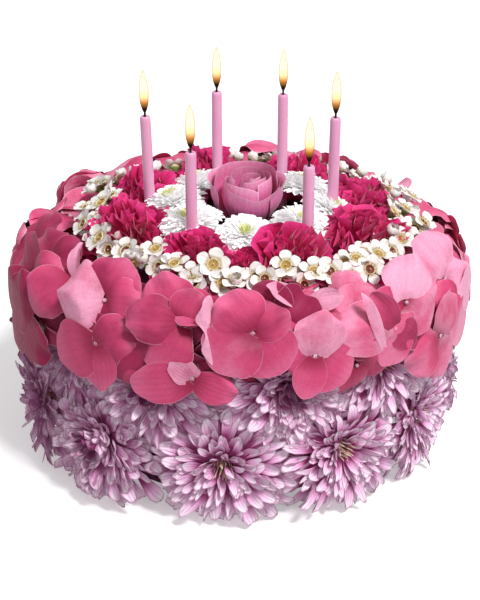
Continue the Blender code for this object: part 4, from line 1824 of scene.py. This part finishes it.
@dataclass(frozen=True)
class Rose:
    """The half-open rose in the middle of the top."""

    node: str = "rose"
    scale: float = 1.0
    lean: float = 4.5
    outermost: float = 20.0
    belly: float = 0.72
    thickness: float = 0.6 * MM
    rows: int = 16
    columns: int = 30

    def petal_points(self, petal: RosePetal) -> Array:
        """One petal's middle surface.

        Across it the angle goes from one side of its span to the other, and the spiral adds to the
        radius in proportion. Up it the radius swells in an arc to the belly, narrows by the
        square of what is left, and rolls out by the square above 0.8. The rim falls away to the
        shoulders by the fourth power of the place across, and rises by the peak in the middle. Inner
        petals lean to +X by the square of the way up.

        Args:
            petal: its sizes.

        Returns:
            (rows, columns, 3) points about the rose's foot, in metres.
        """
        up = np.linspace(0, 1, self.rows)[:, None]
        across = np.linspace(-1, 1, self.columns)[None]
        swell = 1 - (1 - np.minimum(up / self.belly, 1)) ** 1.7
        above = np.maximum(up - self.belly, 0) / (1 - self.belly)
        rolled = np.maximum(up - 0.78, 0) / 0.22
        radius = 1.5 + (petal.radius - 1.5) * swell - petal.narrow * above**2 + petal.lip * rolled**2
        radius = radius + petal.spiral * 0.5 * across * swell
        rim = petal.height - petal.shoulders * across**4 + petal.peak * np.exp(-((across / 0.35) ** 2))
        height = rim * up**0.9 - 0.8 * abs(petal.lip) * rolled**2
        angle = np.radians(petal.turn) + np.radians(petal.half_span) * across * (0.35 + 0.65 * swell)
        level = radius[..., None] * direction(angle, 0.0)
        level[..., 0] += self.lean * max(1 - petal.radius / self.outermost, 0) * up**2
        return MM * self.scale * (level + height[..., None] * np.array([0.0, 0.0, 1.0]))

    def build(self) -> list[bpy.types.Object]:
        """Makes the rose and dresses it."""
        low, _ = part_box(self.node)
        foot = node_centre(self.node)
        foot[2] = low[2]
        points = np.stack([self.petal_points(petal) for petal in ROSE_PETALS]) + foot
        across = np.linspace(-1, 1, self.columns)[None, None]
        along = np.linspace(0, 1, self.rows)[None, :, None]
        edge = np.sqrt((1 - across**8) * (1 - along**8) * np.minimum(along * self.rows, 1))
        share = np.linspace(0, 1, len(ROSE_PETALS))
        bloom = np.stack([share, (share * 7.7) % 1, 0.3 - 0.3 * share], axis=1)
        skin = Skin()
        add_sheets(skin, points, self.thickness, edge, across, along, bloom)
        piece = skin.make("rose_petals", ROSE_PINK.material())
        settle(piece, [self.node])
        return [piece]


# ---------------------------------------------------------------------------- candles


@dataclass(frozen=True)
class Candles:
    """The six thin candles with their wicks and flames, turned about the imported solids' own lines."""

    count: int = 6
    sides: int = 28
    flame_core: float = 0.74

    def line(self, node: str) -> tuple[Array, Array]:
        """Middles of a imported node's two ends.

        Args:
            node: a node that is turned round one line.

        Returns:
            The lower and the upper end's middle.
        """
        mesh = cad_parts[node].data
        points = np.empty(3 * len(mesh.vertices))
        mesh.vertices.foreach_get("co", points)
        points = points.reshape(-1, 3)
        low, high = points[:, 2].min(), points[:, 2].max()
        band = 0.04 * (high - low)
        foot = points[points[:, 2] < low + band]
        head = points[points[:, 2] > high - band]
        return (foot.min(axis=0) + foot.max(axis=0)) / 2, (head.min(axis=0) + head.max(axis=0)) / 2

    def add(self, skin: Skin, node: str, profile: Array, scale: float = 1.0) -> None:
        """Turns a profile about a node's line.

        Args:
            skin: what gathers the piece.
            node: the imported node.
            profile: (points, 2): distance from the line in mm, and share of the node's length.
            scale: times the distances, and drawn about the middle of the length.
        """
        foot, head = self.line(node)
        length = float(np.linalg.norm(head - foot))
        scaled = profile * np.array([MM * scale, length])
        add_turned(skin, scaled, self.sides, Pose.facing(foot[None], (head - foot)[None]), np.zeros((1, 3)))

    def wax_profile(self) -> Array:
        """A straight shaft, then a soft shoulder and a small melted well round the wick."""
        return np.array(
            [
                (0.0, 0.0),
                (2.6, 0.0),
                (3.0, 0.01),
                (3.0, 0.3),
                (3.0, 0.6),
                (2.98, 0.95),
                (2.95, 0.978),
                (2.85, 0.988),
                (2.55, 0.996),
                (2.1, 1.0),
                (1.5, 0.997),
                (0.9, 0.99),
                (0.0, 0.986),
            ]
        )

    def flame_profile(self) -> Array:
        """A teardrop: half width by the sine of the height to a power, fullest under the middle."""
        share = np.linspace(0, 1, 22)
        half = 2.8 * np.sin(np.pi * share**0.92) ** 0.72
        half[[0, -1]] = 0.0
        return np.stack([half, share], axis=1)

    def build(self) -> list[bpy.types.Object]:
        """Makes wax, wicks and the two shells of the flames, and dresses them."""
        wax, wick, heart, rim = Skin(), Skin(), Skin(), Skin()
        flame = self.flame_profile()
        core = np.stack([flame[:, 0] * self.flame_core, 0.02 + 0.93 * flame[:, 1]], axis=1)
        numbers = range(1, self.count + 1)
        wick_profile = np.array([(0.0, 0.0), (0.6, 0.0), (0.6, 0.5), (0.55, 0.9), (0.35, 0.98), (0.0, 1.0)])
        for number in numbers:
            self.add(wax, f"candle_{number}", self.wax_profile())
            self.add(wick, f"wick_{number}", wick_profile)
            self.add(heart, f"flame_{number}", core)
            self.add(rim, f"flame_{number}", flame)
        made = [
            wax.make("candle_wax", CANDLE_WAX.material()),
            wick.make("candle_wicks", WICK.material()),
            rim.make("flame_rims", FLAME_EDGE.material()),
            heart.make("flame_hearts", FLAME_HEART.material()),
        ]
        settle(made[0], [f"candle_{number}" for number in numbers])
        settle(made[1], [f"wick_{number}" for number in numbers])
        settle(made[2], [f"flame_{number}" for number in numbers])
        settle(made[3], [])
        return made


# ---------------------------------------------------------------------------- studio


@dataclass(frozen=True)
class Studio:
    """Pale floor, soft light, and the camera."""

    floor_radius: float = 14.0
    elevation: float = 23.0
    distance: float = 0.9
    aim: tuple[float, float, float] = (0.0, 0.0, 0.095)
    lens: float = 96.4
    sensor: float = 36.0
    shift: tuple[float, float] = (0.0017, -0.0512)
    sky: float = 0.4
    key: float = 2.7
    key_angle: float = 14.0
    fill: float = 0.32
    floor_glow: float = 0.35

    def lay_floor(self) -> None:
        """A wide round floor, kept from bouncing light up so that the petals keep their shading."""
        angle = np.linspace(0, 2 * np.pi, 64, endpoint=False)
        points = np.stack([np.cos(angle), np.sin(angle), np.zeros_like(angle)], axis=1) * self.floor_radius
        mesh = bpy.data.meshes.new("floor")
        mesh.from_pydata(points.tolist(), [], [list(range(len(points)))])
        graph = Graph("floor_paper")
        grain = graph.noise(4.0, 2.0)
        colour = graph.mix(grain * 0.3, Colour(251, 251, 251), Colour(248, 248, 249))
        paper = graph.surface(
            Base_Color=colour,
            Roughness=0.85,
            Specular_IOR_Level=0.1,
            Emission_Color=Colour(255, 255, 255),
            Emission_Strength=self.floor_glow,
        )
        mesh.materials.append(paper)
        floor = bpy.data.objects.new("floor", mesh)
        floor.visible_diffuse = False
        bpy.context.collection.objects.link(floor)

    def light(self) -> None:
        """A white sky all round, a broad key from the upper right, and a faint fill from the front."""
        world = bpy.data.worlds.new("studio")
        world.use_nodes = True
        background = world.node_tree.nodes["Background"]
        background.inputs["Color"].default_value = (1.0, 1.0, 1.0, 1.0)
        background.inputs["Strength"].default_value = self.sky
        bpy.context.scene.world = world
        self.sun("key", self.key, self.key_angle, 38.0, 55.0)
        self.sun("fill", self.fill, 60.0, 18.0, 14.0)

    def sun(self, name: str, strength: float, spread: float, turn: float, climb: float) -> None:
        """A distant soft light.

        Args:
            name: its name.
            strength: its strength.
            spread: how wide it looks, in degrees.
            turn: degrees round from the front.
            climb: degrees up.
        """
        lamp = bpy.data.lights.new(name, "SUN")
        lamp.energy = strength
        lamp.angle = math.radians(spread)
        light = bpy.data.objects.new(name, lamp)
        towards = direction(math.radians(turn), math.radians(climb))
        light.rotation_euler = Vector(towards.tolist()).to_track_quat("Z", "Y").to_euler()
        bpy.context.collection.objects.link(light)

    def place_camera(self) -> None:
        """The camera looks down at the cake from the front."""
        camera = bpy.data.cameras.new("camera")
        camera.lens = self.lens
        camera.sensor_width = self.sensor
        camera.shift_x, camera.shift_y = self.shift
        viewer = bpy.data.objects.new("camera", camera)
        back = direction(0.0, math.radians(self.elevation))
        viewer.location = Vector((np.array(self.aim) + self.distance * back).tolist())
        viewer.rotation_euler = Vector(back.tolist()).to_track_quat("Z", "Y").to_euler()
        bpy.context.collection.objects.link(viewer)
        bpy.context.scene.camera = viewer
        bpy.context.scene.view_settings.view_transform = "Standard"

    def build(self) -> None:
        """Lays the floor, lights it and places the camera."""
        self.lay_floor()
        self.light()
        self.place_camera()


# ---------------------------------------------------------------------------- assembly


def numbered(stem: str, count: int, width: int = 1) -> list[str]:
    """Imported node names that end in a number."""
    return [f"{stem}_{number:0{width}d}" for number in range(1, count + 1)]


def dress_drum() -> None:
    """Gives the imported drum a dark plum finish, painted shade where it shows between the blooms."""
    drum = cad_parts["core"]
    material = DRUM_SHADE.material()
    for number in range(max(1, len(drum.material_slots))):
        if drum.material_slots:
            drum.material_slots[number].material = material
        else:
            drum.data.materials.append(material)


def main() -> None:
    """Builds everything in order."""
    logging.basicConfig(level=logging.INFO, format="%(name)s: %(message)s")
    Studio().build()
    dress_drum()
    # Bloom tints towards the darker shade: tone that differs from bloom to bloom, and on the blooms at the left, with
    # the largest tints, painted shade where less light falls.
    low_tints = (0.1, -0.05, 0.05, 0.2, 0.1, 0.3, 0.2, 0.3, 0.5, 0.55, 0.3)
    high_tints = (0.15, 0.05, 0.1, 0.2, 0.1, 0.2, 0.3, 0.3, 0.5, 0.55, 0.3)
    makers = (
        Chrysanthemums("lilac_mums_low", numbered("mum_low", 11, 2), (3, 6, 10), 11, low_tints, swell=0.1),
        Chrysanthemums("lilac_mums_high", numbered("mum_high", 11, 2), (0, 3, 5, 8, 10), 12, high_tints),
        HydrangeaCollar(),
        WaxflowerWreath(),
        Carnations(numbered("carnation", 8)),
        ButtonMums(numbered("button_mum", 8)),
        Rose(),
        Candles(),
    )
    for maker in makers:
        pieces = maker.build()
        log.info("%s done: %s", type(maker).__name__, ", ".join(piece.name for piece in pieces))


if __name__ == "__main__":
    main()
